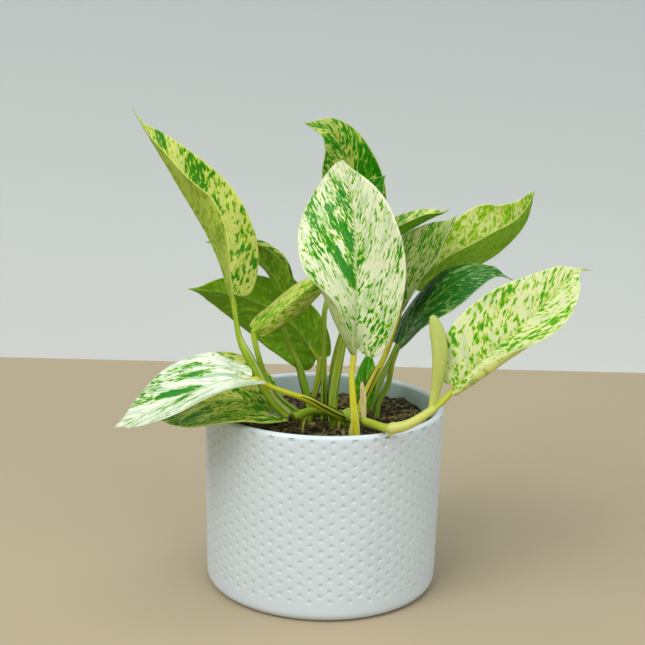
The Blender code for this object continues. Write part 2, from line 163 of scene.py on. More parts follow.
LEAVES = {
    "tall_left": dict(
        midrib=((-47, -22, 59), (-57, -24, 86), (-74, -28, 116), (-94, -32, 150)),
        half=(22, 22), taper=(0.4, 0.4), point=(1.25, 1.25),
        face=((0.9, 0.05, 0.35), (0.75, -0.55, 0.45)), fold=((4, 52), (48, 50), (36, 48)),
        curl=((0, 15), (8, 12), (6, 10)), drip=0.65, wave=(0.7, 2.6),
        pale="#ebf284", fringe="#cbe03e", green="#7fc012", dark="#339406",
        wash=("#cbdc86", 0.5), share=0.36, angle=(60, 24), under=("#a4c23c", 0.75), seed=1,
        patches=((1, 45, 12, 9, 10, 0.2), (1, 75, 9, 8, 9, 0.15))),
    "centre": dict(
        midrib=((14, -32, 36), (14, -30, 65), (12, -24, 99), (6, -16, 127)), half=(29, 29),
        taper=(-0.1, 0.0), point=(0.45, 1.0), face=((0.0, -0.97, 0.2), (-0.3, -0.9, 0.35)),
        fold=((72, 37), (-20, 12)), curl=((5, 5), (0, 5)), drip=0.0,
        roll=(-1, 0.72, 170, -0.1, 0.42), wave=(0.6, 2.1),
        pale="#f0f4d2", fringe="#c6df5c", green="#62b410", dark="#1c8a06",
        wash=("#b6d6a4", 0.75), share=0.29, angle=(46, 26), under=("#a9b878", 0.9), seed=2,
        patches=((-1, 33, 20, 6, 22, 0.28), (-1, 50, 16, 6, 14, 0.24),
                 (-1, 68, 10, 9, 12, 0.26), (-1, 42, 5, 20, 5, 0.12), (1, 40, 5, 5, 6, 0.16),
                 (1, 30, 30, 12, 14, -0.08))),
    "right_front": dict(
        midrib=((62, -52, 23), (76, -53, 39), (99, -53, 62), (115, -51, 79.5), (124, -50, 81)),
        half=(22.5, 24), taper=(0.25, -0.1), face=((-0.41, -0.85, 0.33),),
        fold=((20, 52), (18, 15)), curl=((0, 20), (0, 5)), drip=0.8,
        roll=(1, 0.86, 140, -0.1, 0.5), wave=(0.5, 2.3),
        pale="#e8eeb6", fringe="#c6de44", green="#84c41c", dark="#41a00a",
        wash=("#cfe0b4", 0.65), share=0.36, angle=(78, 20), under=("#c6c96a", 0.85),
        rib="#c9cf6a", seed=3,
        patches=((1, 48, 24, 9, 22, 0.07), (-1, 34, 9, 5, 7, 0.1), (-1, 8, 12, 8, 14, -0.08))),
    "dark_right": dict(
        midrib=((38, 4, 30), (49, -1, 50), (65, -6, 66), (81, -10, 72), (93, -14, 69)),
        half=(20, 20), taper=(0.2, -0.6), point=(1.3, 1.8),
        face=((-0.66, -0.46, 0.59), (-0.4, -0.4, 0.82)), fold=((-5, 28), (-5, -15)),
        curl=((-8, 0),), drip=0.5, wave=(0.5, 1.8),
        # dark_right: its grey-green pale tone and wash are partly marking and partly painted sheen
        pale="#a8c27c", fringe="#86b04a", green="#3b8a1c", dark="#14650c",
        wash=("#8fb184", 0.7), share=0.8, angle=(34, 14), under=("#6f9a45", 0.6), seed=4),
    "right_back": dict(
        midrib=((53, 34, 53), (72, 32, 64.5), (90, 29, 76), (103, 26, 92), (107, 24, 110)),
        half=(27, 26), taper=(-0.5, 0.0), point=(0.75, 1.0), face=((-0.63, -0.33, 0.65),),
        fold=((54, 54), (50, 54)), curl=((5, 5),), wave=(0.15, 2.2),
        pale="#e4e998", fringe="#cbd94a", green="#a6cf1c", dark="#78b60a",
        wash=("#c8d672", 0.6), share=0.45, angle=(62, 26), under=("#7cb808", 0.92), seed=5),
    "right_middle": dict(
        midrib=((39, 11, 48), (48, 14, 62), (58, 14, 79), (66, 13, 98)), half=(21, 19),
        taper=(-0.4, 0.0), face=((-0.7, -0.61, 0.36),), fold=((45, 45),), wave=(0.5, 2.4),
        pale="#d6e09a", fringe="#b8d44c", green="#69a81e", dark="#388a0c",
        wash=("#b7c88c", 0.6), share=0.42, angle=(26, 12), under=("#8fae50", 0.7), seed=6),
    "right_upper": dict(
        midrib=((23, 14, 72), (33, 15, 83), (48, 16, 93), (62, 15, 100)), half=(10, 12),
        face=((-0.61, -0.31, 0.77),), fold=((45, 45),), curl=((5, 5), (0, 0)), wave=(0.4, 2.0),
        pale="#dbe688", fringe="#bcd83c", green="#66aa14", dark="#368a06",
        wash=("#b5c880", 0.5), share=0.55, angle=(34, 16), under=("#6aa810", 0.9), seed=7),
    "top_back": dict(
        midrib=((8, 26, 69), (12.5, 27, 99.5), (7, 20, 126), (-1, 15, 139), (-14, 12, 143)),
        half=(18, 18), taper=(-0.2, 0.0), face=((0.1, -0.95, 0.3), (0.0, -0.9, 0.4)),
        fold=((25, 25), (20, 20)), drip=0.1, wave=(0.6, 2.0),
        pale="#cfdb74", fringe="#a6cc34", green="#56a80c", dark="#238a04",
        wash=("#a9c44c", 0.5), share=0.56, angle=(50, 26), under=("#7ba534", 0.7), seed=8),
    "small_back": dict(
        midrib=((12, 10, 86), (17, 9, 99), (22, 8, 109), (28, 6, 118)), half=(11, 11),
        face=((-0.3, -0.9, 0.3),), fold=((20, 20),), drip=0.0, wave=(0.3, 1.7),
        pale="#b5cf50", fringe="#7fb428", green="#3f9510", dark="#24820a",
        wash=("#9fc048", 0.3), share=0.85, angle=(45, 24), under=("#5f9a24", 0.7), seed=9),
    "left_middle": dict(
        midrib=((-22, 2.5, 57), (-32, 3.5, 71), (-47, 4.5, 80), (-63, 4, 82)), half=(17, 14),
        face=((0.4, 0.65, 0.65), (0.2, 0.5, 0.8)), fold=((20, 20),),
        roll=(-1, 0.68, -115, 0.0, 0.95), wave=(0.5, 2.1),
        pale="#cfdc5a", fringe="#a4c42c", green="#5f9e12", dark="#2a7208",
        wash=("#a4c040", 0.3), share=0.5, angle=(48, 26), under=("#7cb410", 0.8), seed=10),
    "left_low": dict(
        midrib=((-4, 17, 19), (-18, 19, 36.5), (-43, 17, 51), (-73, 11, 56)), half=(16, 24),
        face=((0.2, 0.97, 0.15), (0.1, 0.85, 0.5)), fold=((8, 8), (15, 15)), wave=(0.5, 2.3),
        pale="#b9d25c", fringe="#86b42c", green="#4d9512", dark="#2a7a0c",
        wash=("#9cc04c", 0.3), share=0.75, angle=(56, 30), under=("#92cc18", 0.78), seed=11),
    "curled": dict(
        midrib=((-35, -24, 43), (-27, -22, 49), (-14, -18, 59), (4, -14, 74)), half=(13, 12),
        face=((-0.3, -0.8, 0.5),), fold=((-25, -62),), curl=((-10, -20),), wave=(0.3, 1.9),
        pale="#e0e682", fringe="#c6dc38", green="#98cc18", dark="#6db40c",
        wash=("#cfe05c", 0.4), share=0.4, angle=(40, 22), under=("#a9c940", 0.5), seed=12),
    "left_white": dict(
        midrib=((-35, -41, 22), (-49, -50, 23), (-74, -54, 13), (-102, -50, -2)), half=(21, 22),
        face=((0.0, -0.45, 0.9), (-0.1, -0.6, 0.8)), fold=((20, 3),), curl=((14, 0), (7, 0)),
        wave=(0.4, 2.0),
        pale="#f2f6e6", fringe="#c2da84", green="#57aa1c", dark="#1f880a",
        wash=("#aacdaa", 0.9), share=0.22, grain=(1.0, 0.85, 0.2), angle=(34, 16),
        under=("#dfe4c4", 0.7), seed=13,
        patches=((1, 8, 20, 5, 9, 0.34), (1, 30, 9, 6, 8, 0.34), (-1, 34, 8, 5, 14, 0.2),
                 (1, 48, 10, 8, 10, -0.1), (1, 16, 6, 5, 6, -0.12))),
    "left_green": dict(
        midrib=((-26, -12, -1), (-45, -24, 6), (-64, -34, 6), (-86, -38, -1)), half=(29, 28),
        face=((-0.05, -0.56, 0.83), (0.0, -0.4, 0.9)), fold=((27, 27), (10, 10)),
        wave=(0.6, 2.2),
        pale="#e6e97c", fringe="#c4d83c", green="#66b010", dark="#2f8c04",
        wash=("#c6d468", 0.4), share=0.56, grain=(0.9, 1.1, 0.3), angle=(46, 22),
        under=("#8fb23e", 0.7), seed=14, patches=((1, 10, 18, 8, 8, -0.2),)),
    "small_front": dict(
        midrib=((20, 4, -4), (21, 4, 8), (22, 5, 18), (23, 6, 27)), half=(6, 6),
        face=((0.0, -1.0, 0.2),), fold=((20, 20),), drip=0.0, wave=(0.2, 1.5),
        pale="#a4d23c", fringe="#86c82a", green="#66ba18", dark="#4aa80e",
        wash=("#90cc34", 0.3), share=0.7, angle=(44, 24), under=("#66a828", 0.7), rib="#84c030",
        seed=15),
}

# Leaf stalks: the points from the foot up to the leaf base, and the radius at the
# foot. yellow: at the foot, half way and at the blade. sheath: height of its two
# wings and the share of the stalk that they reach. dry: how brown their edges are.
# turn: degrees that the wings stand turned at the foot.
STALKS = {
    "tall_left": dict(
        points=((-20.5, -26, 1.2), (-27, -27, 8), (-38, -26, 28), (-43, -25, 39)), radius=2.2,
        yellow=(0.35, 0.15, 0.3), sheath=(1.9, 0.72), dry=0.05),
    "centre": dict(
        points=((15.5, -38, -4), (14, -37, 11), (13, -35, 24)), radius=2.1,
        yellow=(0.75, 1.0, 0.9), sheath=(1.2, 0.6), dry=0.1),
    "right_front": dict(
        points=((52.9, -56.4, 14.9), (57, -54.6, 18)), radius=1.7,
        yellow=(0.6, 0.6, 0.6), sheath=(0.3, 0.5), dry=0.0),
    "dark_right": dict(
        points=((28, 7, -4), (33, 7, 8), (35, 5.5, 20)), radius=1.8,
        yellow=(0.05, 0.1, 0.35), sheath=(0.7, 0.5), dry=0.2),
    "right_back": dict(
        points=((26, 18, -4), (35, 24, 17), (45, 30, 39)), radius=1.8,
        yellow=(0.1, 0.15, 0.3), sheath=(0.7, 0.5), dry=0.2),
    "right_middle": dict(
        points=((19, -3, -4), (24, -1, 10), (31, 3, 25), (36, 8, 39)), radius=1.9,
        yellow=(0.5, 0.95, 1.0), sheath=(1.5, 0.62), dry=1.0),
    "right_upper": dict(
        points=((3.5, 10.5, -4), (4, 10, 17), (10, 12, 41), (16, 15, 58)), radius=1.6,
        yellow=(0.1, 0.2, 0.3), sheath=(0.7, 0.4), dry=0.3),
    "top_back": dict(
        points=((-0.5, 5, -4), (-1, 5, 31), (-1, 8, 47), (3, 18, 60)), radius=1.6,
        yellow=(0.1, 0.2, 0.3), sheath=(1.0, 0.4), dry=0.9, turn=40),
    "small_back": dict(
        points=((5, 2, -4), (5.5, 2, 7), (9, 3, 32), (11, 6, 55)), radius=2.0,
        yellow=(0.25, 0.3, 0.3), sheath=(1.1, 0.55), dry=0.25, turn=-20),
    "left_middle": dict(
        points=((-8, 3, -4), (-13, 1, 17), (-20, 0, 32), (-23, 1, 47)), radius=1.7,
        yellow=(0.1, 0.1, 0.2), sheath=(1.5, 0.6), dry=1.0, turn=150),
    "left_low": dict(
        points=((-6, 11, -4), (-4, 13.5, 9)), radius=1.6,
        yellow=(0.1, 0.3, 0.7), sheath=(1.4, 0.9), dry=1.0, turn=-150),
    "curled": dict(
        points=((-16.5, -20, 1.5), (-22, -21, 6), (-29, -20.5, 15), (-34, -24, 31)), radius=1.7,
        yellow=(0.2, 0.15, 0.35), sheath=(0.8, 0.5), dry=0.0),
    "left_white": dict(
        points=((7.5, -15.5, -3.5), (-2, -22, 3), (-10, -28, 9), (-25, -35, 16)), radius=1.7,
        yellow=(0.35, 0.9, 0.8), sheath=(1.5, 0.55), dry=1.0),
    "left_green": dict(
        points=((-11, -2, -8.5), (-19, -6.5, -4)), radius=1.6,
        yellow=(0.2, 0.3, 0.4), sheath=(0.4, 0.5), dry=0.1),
    "small_front": dict(
        points=((19.3, 4, -16),), radius=1.3,
        yellow=(0.1, 0.1, 0.2), sheath=(0.3, 0.5), dry=0.0),
}
SOIL_FEET = ("centre", "dark_right", "right_back", "right_middle", "right_upper", "top_back",
             "small_back", "left_middle", "left_low", "left_green", "small_front")

# The two creeping stems: points, radii from the foot to the end, the shares of their
# length where an old leaf left a ring, and how yellow and how pale they are along it.
STEMS = {
    "stem_right": dict(
        points=((12, -5, -6), (13, -10, -5), (15.5, -22, -2), (21, -38, 0.8), (29.5, -57, 3.8),
                (36, -61.5, 5.8), (43, -61.5, 9), (52, -57, 14)),
        radii=((0, 2.9), (0.3, 3.2), (0.42, 2.3), (0.645, 2.1), (0.665, 3.0), (0.72, 3.0),
               (0.82, 2.7), (1, 2.3)),
        nodes=(0.2, 0.38, 0.665), pale=((0, 0), (0.655, 0.05), (0.67, 0.5), (1, 0.35)),
        yellow=((0, 0.15), (0.45, 0.3), (0.66, 0.5), (0.7, 0.85), (1, 0.8)), flat=0.9),
    "stem_left": dict(
        points=((5, -4, -8), (3, -7, -4), (-7, -14, -1.5), (-15, -22, -1.8)),
        radii=((0, 2.6), (0.5, 2.2), (1, 2.3)), nodes=(0.3, 0.6, 0.93),
        yellow=((0, 0.1), (1, 0.25)), pale=((0, 0), (1, 0)), flat=0.95),
}
STEM_STEPS = 110
STEM_SIDES = 20
NODE_SWELL = (0.14, 0.03)    # how far a stem swells at a ring, and over what share
NODE_GROOVE = (0.12, 0.006)  # the narrow groove of the ring itself

# Aerial root stubs on the stems: points, radius at the stem, how dried they are.
ROOT_STUBS = (
    (((31.8, -60.0, 3.4), (31.2, -62.0, 1.8), (30.3, -63.2, 0.9)), 0.9, 0.35),
    (((31.4, -61.6, 1.8), (30.2, -63.2, 0.9), (28.9, -63.8, 0.9)), 0.4, 0.9),
    (((15.0, -20.0, -4.0), (13.6, -23.0, -7.5), (13.0, -24.0, -12.0)), 1.1, 0.15),
    (((-9.0, -16.0, -3.0), (-10.5, -18.5, -6.5), (-11.0, -19.5, -12.5)), 0.9, 0.2),
    (((12.0, -6.0, -3.0), (9.0, -9.0, -5.0), (7.5, -10.5, -11.5)), 1.2, 0.1),
)
STUB_STEPS = 12
STUB_SIDES = 10

# The youngest leaf, still rolled up: points with a radius each.
SPIKE = (
    ((51.0, -56.6, 12.5), 2.2), ((52.6, -55.4, 22), 2.8), ((53.9, -54.6, 32), 3.9),
    ((53.9, -53.6, 42), 4.6), ((52.4, -52.6, 50), 4.3), ((50.8, -51.9, 55), 3.0),
    ((49.6, -51.6, 57.5), 1.4))
SPIKE_STEPS = 60
SPIKE_SIDES = 32
SPIKE_FLATNESS = 0.5
SPIKE_START = 2.4          # radians from its front to the seam

# A dried sheath that stands on the right-hand stem.
SHEATH = dict(
    midrib=((19.6, -35.4, 1.6), (19, -33.5, 10), (18.5, -33.5, 16), (18, -33, 22)),
    half=(1.9, 1.9), face=((0.0, -1.0, 0.1),), fold=((35, 35),), angle=(30, 20),
    wave=(0.25, 1.3), seed=21)
SHEATH_THICKNESS = 0.4

# ---- the stalks, millimetres ----
STALK_STEPS = 54
STALK_GAP = 1.6            # a stalk proper ends this far short of its leaf base
JOIN_DEPTH = 2.6           # how far a stalk's foot runs into the stem
WING_AT = 0.78             # radians from the upper side to each wing of the sheath
WING_WIDTH, EDGE_WIDTH = 0.17, 0.13  # radians: the wing, and its edge that dries
CHANNEL_WIDTH = 0.5        # radians
KNEE_SWELL, KNEE_BACK, KNEE_LENGTH = 0.22, 3.5, 3.0  # the joint below the blade
UNDER_DEPTH = 0.55         # how far under the blade's middle a stalk runs on

# How a stalk runs on under its blade: shares of the midrib, and the radius at each.
UNDER_BLADE = (0.01, 0.03, 0.06, 0.1)
UNDER_WIDTHS = (1.1, 0.95, 0.8, 0.55)

# ---- the stage, metres ----
FLOOR_RADIUS = 3.6
BACKDROP_HALF = 3.0
LIGHT_REACH = 1.7          # how much further off and larger than on a small table set

# Soft lights: where each stands, what it aims at, its size and its colour.
LIGHTS = (
    ("window", (-0.75, -0.9, 1.25), (0, 0, 0.12), 1.0, (1.0, 0.99, 0.97)),
    ("fill", (0.9, -1.1, 0.7), (0, 0, 0.1), 1.2, (0.97, 0.99, 1.0)),
    ("top", (0.0, -0.1, 1.5), (0, 0, 0.1), 1.2, (1.0, 1.0, 1.0)),
)
CAMERA_PLACE = (0.0, -0.605, 0.2671)
CAMERA_DOWN, CAMERA_TURN, CAMERA_ROLL = 12.038, -0.196, 1.37  # degrees


# ---------------------------------------------------------------- small helpers

def linear(hex_colour):
    """An sRGB hex colour as linear light."""
    parts = [int(hex_colour[k:k + 2], 16) / 255 for k in (1, 3, 5)]
    return tuple(c / 12.92 if c <= 0.04045 else ((c + 0.055) / 1.055) ** 2.4 for c in parts)


def rgba(colour):
    """A hex colour or a colour setting as four numbers of linear light."""
    return (*(linear(colour) if isinstance(colour, str) else colour), 1.0)


def unit(v):
    """A vector at length one."""
    return v / np.linalg.norm(v)


def units(vectors):
    """Each vector of an array at length one."""
    return vectors / np.linalg.norm(vectors, axis=-1, keepdims=True)


def placed(points):
    """Plant points in millimetres as positions in metres."""
    return (np.asarray(points, float) + (0, 0, RIM_HEIGHT)) * MM


def around(count):
    """Angles spread evenly round a circle."""
    return [2 * math.pi * k / count for k in range(count)]


def level_ring(radius, height, angles):
    """Points of a level ring round the pot's axis, or the one point on the axis."""
    if not radius:
        return [(0, 0, height)]
    return [(radius * math.cos(a), radius * math.sin(a), height) for a in angles]


def add_points(points, new):
    """Add points to a list and return their numbers."""
    points.extend(new)
    return list(range(len(points) - len(new), len(points)))


def lengths_along(line):
    """The length along a line at each of its points."""
    steps = np.linalg.norm(np.diff(line, axis=0), axis=1)
    return np.concatenate(([0.0], np.cumsum(steps)))


def spots_at(line, shares, wanted):
    """Points of a line at wanted shares of its length."""
    return np.stack([np.interp(wanted, shares, line[:, k]) for k in range(3)], -1)


def smooth_path(points, t):
    """Points on a Catmull-Rom curve that passes through the given points."""
    p = np.asarray(points, float)
    p = np.vstack((2 * p[0] - p[1], p, 2 * p[-1] - p[-2]))
    spans = len(p) - 3
    x = np.clip(np.asarray(t, float), 0, 1) * spans
    i = np.minimum(x.astype(int), spans - 1)
    f = (x - i)[:, None]
    a, b, c, d = p[i], p[i + 1], p[i + 2], p[i + 3]
    return 0.5 * (2 * b + (c - a) * f + (2 * a - 5 * b + 4 * c - d) * f ** 2
                  + (3 * b - a - 3 * c + d) * f ** 3)


def add_object(name, data):
    """A scene object for a mesh, a light or a camera."""
    made = bpy.data.objects.new(name, data)
    bpy.context.scene.collection.objects.link(made)
    return made


def make_piece(name, points, faces, material, places=None, stands_for=()):
    """A mesh piece on the plant's body; places are vectors kept for its material."""
    mesh = bpy.data.meshes.new(name)
    mesh.from_pydata([tuple(p) for p in points], [], faces)
    for key, values in (places or {}).items():
        store = mesh.attributes.new(key, "FLOAT_VECTOR", "POINT")
        store.data.foreach_set("vector", np.asarray(values, np.float32).ravel())
    bm = bmesh.new()
    bm.from_mesh(mesh)
    bmesh.ops.remove_doubles(bm, verts=bm.verts, dist=2e-6)
    bmesh.ops.dissolve_degenerate(bm, edges=bm.edges, dist=1e-7)
    bm.to_mesh(mesh)
    bm.free()
    mesh.materials.append(material)
    mesh.shade_smooth()
    piece = add_object(name, mesh)
    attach(piece, "root")
    if stands_for:
        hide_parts(*stands_for)
    return piece


def bridge(rings, closed=True):
    """Faces between neighbouring rings of vertex numbers; a ring of one is a tip."""
    faces = []
    for low, high in zip(rings, rings[1:]):
        count = max(len(low), len(high))
        for k in range(count if closed else count - 1):
            n = (k + 1) % count
            if len(low) == 1:
                faces.append((low[0], high[n], high[k]))
            elif len(high) == 1:
                faces.append((low[k], low[n], high[0]))
            else:
                faces.append((low[k], low[n], high[n], high[k]))
    return faces


# ---------------------------------------------------------------- materials

RGB = dict(out=2, data_type="RGBA")  # a mix of colours, and its colour output
SHADED = dict(RGB, blend_type="MULTIPLY")
PARTS = slice(0, 3)                  # all three numbers of a vector


def node(tree, kind, inputs=(), out=0, **settings):
    """Add a node with its settings and its inputs, by key or in order, each linked or
    set. Returns one output, or a list of them for a slice."""
    made = tree.nodes.new("ShaderNode" + kind)
    for key, value in settings.items():
        setattr(made, key, value)
    for key, value in inputs.items() if isinstance(inputs, dict) else enumerate(inputs):
        if isinstance(value, bpy.types.NodeSocket):
            tree.links.new(value, made.inputs[key])
        else:
            made.inputs[key].default_value = value
    return made.outputs[out] if len(made.outputs) else None


def new_material(name):
    """An empty node material and its tree."""
    material = bpy.data.materials.new(name)
    material.use_nodes = True
    material.node_tree.nodes.clear()
    return material, material.node_tree


def glazed_stoneware(settings):
    """Cast stoneware with a satin blue-grey glaze: soft broad highlights, glaze that
    pools a little darker in the dimples and is paler in soft clouds, bare clay below."""
    material, tree = new_material("satin_glazed_stoneware")
    place = node(tree, "TexCoord", out=3)
    relief = node(tree, "Attribute", attribute_name="relief", out=1)
    depth, inside, bare = node(tree, "SeparateXYZ", (relief,), out=PARTS)
    cloud = node(tree, "TexNoise", {"Vector": place, "Scale": 38.0, "Detail": 3.0})
    pooled = node(tree, "Math", (depth, 0.34), operation="MULTIPLY")
    specks = node(tree, "TexNoise", {"Vector": place, "Scale": 900.0, "Detail": 2.0})
    speckled = node(tree, "MapRange", (specks, 0.68, 0.76, 0.0, 0.12))
    clay = node(tree, "Mix", {0: specks, 6: rgba("#b9ad98"), 7: rgba("#d6cdbb")}, **RGB)
    colour = rgba(settings.glaze)
    # painted shade: the inner wall takes a darker, greener tone for shade and the leaves' green
    # bounce light
    for share, tone in ((cloud, settings.glaze_pale), (pooled, settings.glaze_pool),
                        (inside, settings.inner_wall_shade), (speckled, "#8b938f")):
        colour = node(tree, "Mix", {0: share, 6: colour, 7: rgba(tone)}, **RGB)
    colour = node(tree, "Mix", {0: bare, 6: colour, 7: clay}, **RGB)
    gloss = node(tree, "MapRange", (cloud, 0.3, 0.7, 0.36, 0.46))
    rough = node(tree, "Mix", {0: bare, 2: gloss, 3: 0.85})
    skin = node(tree, "TexNoise", {"Vector": place, "Scale": 260.0, "Detail": 3.0})
    bump = node(tree, "Bump", {"Height": skin, "Strength": 0.12, "Distance": 0.4 * MM})
    shader = node(tree, "BsdfPrincipled", {
        "Base Color": colour, "Roughness": rough, "IOR": 1.5, "Normal": bump})
    node(tree, "OutputMaterial", (shader,))
    return material


def potting_mix(settings):
    """Damp peat with bark and fibre: nearly black, crumbly, with no shine."""
    material, tree = new_material("damp_potting_mix")
    place = node(tree, "TexCoord", out=3)
    lumps = node(tree, "TexNoise", {
        "Vector": place, "Scale": 260.0, "Detail": 6.0, "Roughness": 0.7})
    grains = node(tree, "TexVoronoi", {"Vector": place, "Scale": 620.0})
    fleck = node(tree, "MapRange", (lumps, 0.62, 0.7, 0.0, 0.5))
    colour = rgba(settings.peat_dark)
    # partly painted shade: the bed tone between the crumbs is the peat's own dark colour, made
    # darker for the shade in the gaps
    for share, tone in ((lumps, settings.bed_with_gap_shade), (fleck, settings.bark)):
        colour = node(tree, "Mix", {0: share, 6: colour, 7: rgba(tone)}, **RGB)
    height = node(tree, "Math", (lumps, grains), operation="SUBTRACT")
    bump = node(tree, "Bump", {"Height": height, "Strength": 1.0, "Distance": 0.8 * MM})
    shader = node(tree, "BsdfPrincipled", {
        "Base Color": colour, "Roughness": 0.92, "Normal": bump})
    node(tree, "OutputMaterial", (shader,))
    return material


def loose_bits(settings):
    """Bark, peat crumbs and fibres lying loose: each bit keeps one tone, dark or straw."""
    material, tree = new_material("bark_and_fibre_bits")
    place = node(tree, "TexCoord", out=3)
    tones = node(tree, "Attribute", attribute_name="tone", out=1)
    straw, shade = node(tree, "SeparateXYZ", (tones,), out=slice(0, 2))
    colour = rgba(settings.peat_dark)
    for share, tone in ((shade, settings.peat), (straw, settings.straw)):
        colour = node(tree, "Mix", {0: share, 6: colour, 7: rgba(tone)}, **RGB)
    grain = node(tree, "TexNoise", {"Vector": place, "Scale": 1400.0, "Detail": 3.0})
    shading = node(tree, "MapRange", (grain, 0.3, 0.7, 0.65, 1.2))
    colour = node(tree, "Mix", {0: 1.0, 6: colour, 7: shading}, **SHADED)
    bump = node(tree, "Bump", {"Height": grain, "Strength": 0.8, "Distance": 0.2 * MM})
    shader = node(tree, "BsdfPrincipled", {
        "Base Color": colour, "Roughness": 0.85, "Normal": bump})
    node(tree, "OutputMaterial", (shader,))
    return material


def marbled_leaf(name, leaf):
    """A living pothos blade: waxy cuticle with a soft sheen above, duller below, green
    patches that run and feather along the veins, and light that passes through."""
    material, tree = new_material("pothos_leaf_" + name)
    vein_place, blade_place, marks = (
        node(tree, "Attribute", attribute_name=key, out=1)
        for key in ("vein_place", "blade_place", "marks"))
    vein, reach = node(tree, "SeparateXYZ", (vein_place,), out=slice(0, 2))
    edge, _, under = node(tree, "SeparateXYZ", (blade_place,), out=PARTS)
    field = node(tree, "SeparateXYZ", (marks,))
    seed = leaf["seed"]

    for (across, lengthways, detail), strength in zip(MARKINGS, leaf["grain"]):
        stretched = node(tree, "VectorMath", (
            vein_place, (across, lengthways, 1.0), (seed * 7.1, seed * 3.3, 0.0)),
            operation="MULTIPLY_ADD")
        marking = node(tree, "TexNoise", {
            "Vector": stretched, "Scale": 1.0, "Detail": detail, "Roughness": 0.58,
            "Distortion": 0.3})
        centred = node(tree, "Math", (marking, 0.5), operation="SUBTRACT")
        field = node(tree, "Math", (centred, strength, field), operation="MULTIPLY_ADD")
    level = 0.5 * (0.5 - leaf["share"])

    cloud_at = node(tree, "VectorMath", (
        vein_place, (0.17, 0.05, 1.0), (seed * 2.7, 9.0, 3.0)), operation="MULTIPLY_ADD")
    cloud = node(tree, "TexNoise", {
        "Vector": cloud_at, "Scale": 1.0, "Detail": 3.0, "Roughness": 0.55})
    wash_colour, wash_strength = leaf["wash"]
    wash = node(tree, "MapRange", (cloud, 0.5, 0.6, 0.0, wash_strength))
    colour = node(tree, "Mix", {0: wash, 6: rgba(leaf["pale"]), 7: rgba(wash_colour)}, **RGB)
    for tone, low, high in MARKING_BANDS:
        share = node(tree, "MapRange", (field, level + low, level + high, 0.0, 1.0))
        colour = node(tree, "Mix", {0: share, 6: colour, 7: rgba(leaf[tone])}, **RGB)

    # fine parallel veins, side veins, and the midrib
    fine = node(tree, "Math", (vein, 2 * math.pi / FINE_VEIN_GAP), operation="MULTIPLY")
    fine = node(tree, "Math", (fine,), operation="SINE")
    side = node(tree, "Math", (vein, math.pi / VEIN_GAP), operation="MULTIPLY")
    side = node(tree, "Math", (side,), operation="SINE")
    side = node(tree, "Math", (side,), operation="ABSOLUTE")
    side = node(tree, "MapRange", (side, 0.0, 0.16, 1.0, 0.0))
    under_veins = node(tree, "Math", (under, 0.30, 0.10), operation="MULTIPLY_ADD")
    veined = node(tree, "Math", (side, under_veins), operation="MULTIPLY")

    hidden_colour, hidden = leaf["under"]
    veil = node(tree, "Math", (under, hidden), operation="MULTIPLY")
    dull = node(tree, "MapRange", (field, level - 0.1, level + 0.15, 1.12, 0.86))
    below = node(tree, "Mix", {0: 1.0, 6: rgba(hidden_colour), 7: dull}, **SHADED)
    colour = node(tree, "Mix", {0: veil, 6: colour, 7: below}, **RGB)
    midrib = node(tree, "MapRange", (reach, 0.3, 0.8, 0.5, 0.0))
    # partly painted light: the pale rim along the margin stands for the margin's own paler colour
    # and for light shining through the thin edge
    margin = node(tree, "MapRange", (edge, 0.972, 0.99, 0.0, 0.75))
    for share, tone in ((veined, "fringe"), (midrib, "rib"), (margin, "pale")):
        colour = node(tree, "Mix", {0: share, 6: colour, 7: rgba(leaf[tone])}, **RGB)

    top_gloss = node(tree, "MapRange", (cloud, 0.35, 0.65, 0.33, 0.43))
    rough = node(tree, "Mix", {0: under, 2: top_gloss, 3: 0.58})
    cells = node(tree, "TexNoise", {"Vector": vein_place, "Scale": 2.2, "Detail": 3.0})
    height = node(tree, "Math", (fine, 0.35, cells), operation="MULTIPLY_ADD")
    bump = node(tree, "Bump", {"Height": height, "Strength": 0.35, "Distance": 0.06 * MM})
    skin = node(tree, "BsdfPrincipled", {
        "Base Color": colour, "Roughness": rough, "IOR": 1.42, "Normal": bump})
    glow = node(tree, "BsdfTranslucent", {"Color": colour, "Normal": bump})
    blade = node(tree, "MixShader", (0.24, skin, glow))
    node(tree, "OutputMaterial", (blade,))
    return material


def leaf_stalk_skin(settings):
    """Fleshy stalk: smooth and slightly waxy, striped lengthways, thin sheath edges
    that dry to brown and black."""
    material, tree = new_material("fleshy_stalk_skin")
    place = node(tree, "Attribute", attribute_name="stalk_place", out=1)
    tint = node(tree, "Attribute", attribute_name="tint", out=1)
    yellow, dry, pale = node(tree, "SeparateXYZ", (tint,), out=PARTS)
    # stripes 0.7 mm apart that run 12 mm or more
    stretched = node(tree, "VectorMath", (place, (1.4, 0.08, 1.0)), operation="MULTIPLY")
    stripes = node(tree, "TexNoise", {"Vector": stretched, "Scale": 1.0, "Detail": 3.0})
    light = node(tree, "MapRange", (stripes, 0.45, 0.7, 0.0, 0.45))
    deep = node(tree, "MapRange", (stripes, 0.42, 0.3, 0.0, 0.35))
    brown = node(tree, "MapRange", (dry, 0.25, 0.5, 0.0, 1.0))
    colour = rgba(settings.green)
    for share, tone in ((yellow, settings.yellow), (light, "#cfdc58"), (deep, "#4a8a12"),
                        (pale, "#c9d096"), (brown, settings.dry_edge)):
        colour = node(tree, "Mix", {0: share, 6: colour, 7: rgba(tone)}, **RGB)
    rough = node(tree, "MapRange", (stripes, 0.3, 0.7, 0.34, 0.46))
    bump = node(tree, "Bump", {"Height": stripes, "Strength": 0.4, "Distance": 0.15 * MM})
    shader = node(tree, "BsdfPrincipled", {
        "Base Color": colour, "Roughness": rough, "IOR": 1.42, "Normal": bump})
    glow = node(tree, "BsdfTranslucent", {"Color": colour, "Normal": bump})
    stalk = node(tree, "MixShader", (0.15, shader, glow))
    node(tree, "OutputMaterial", (stalk,))
    return material


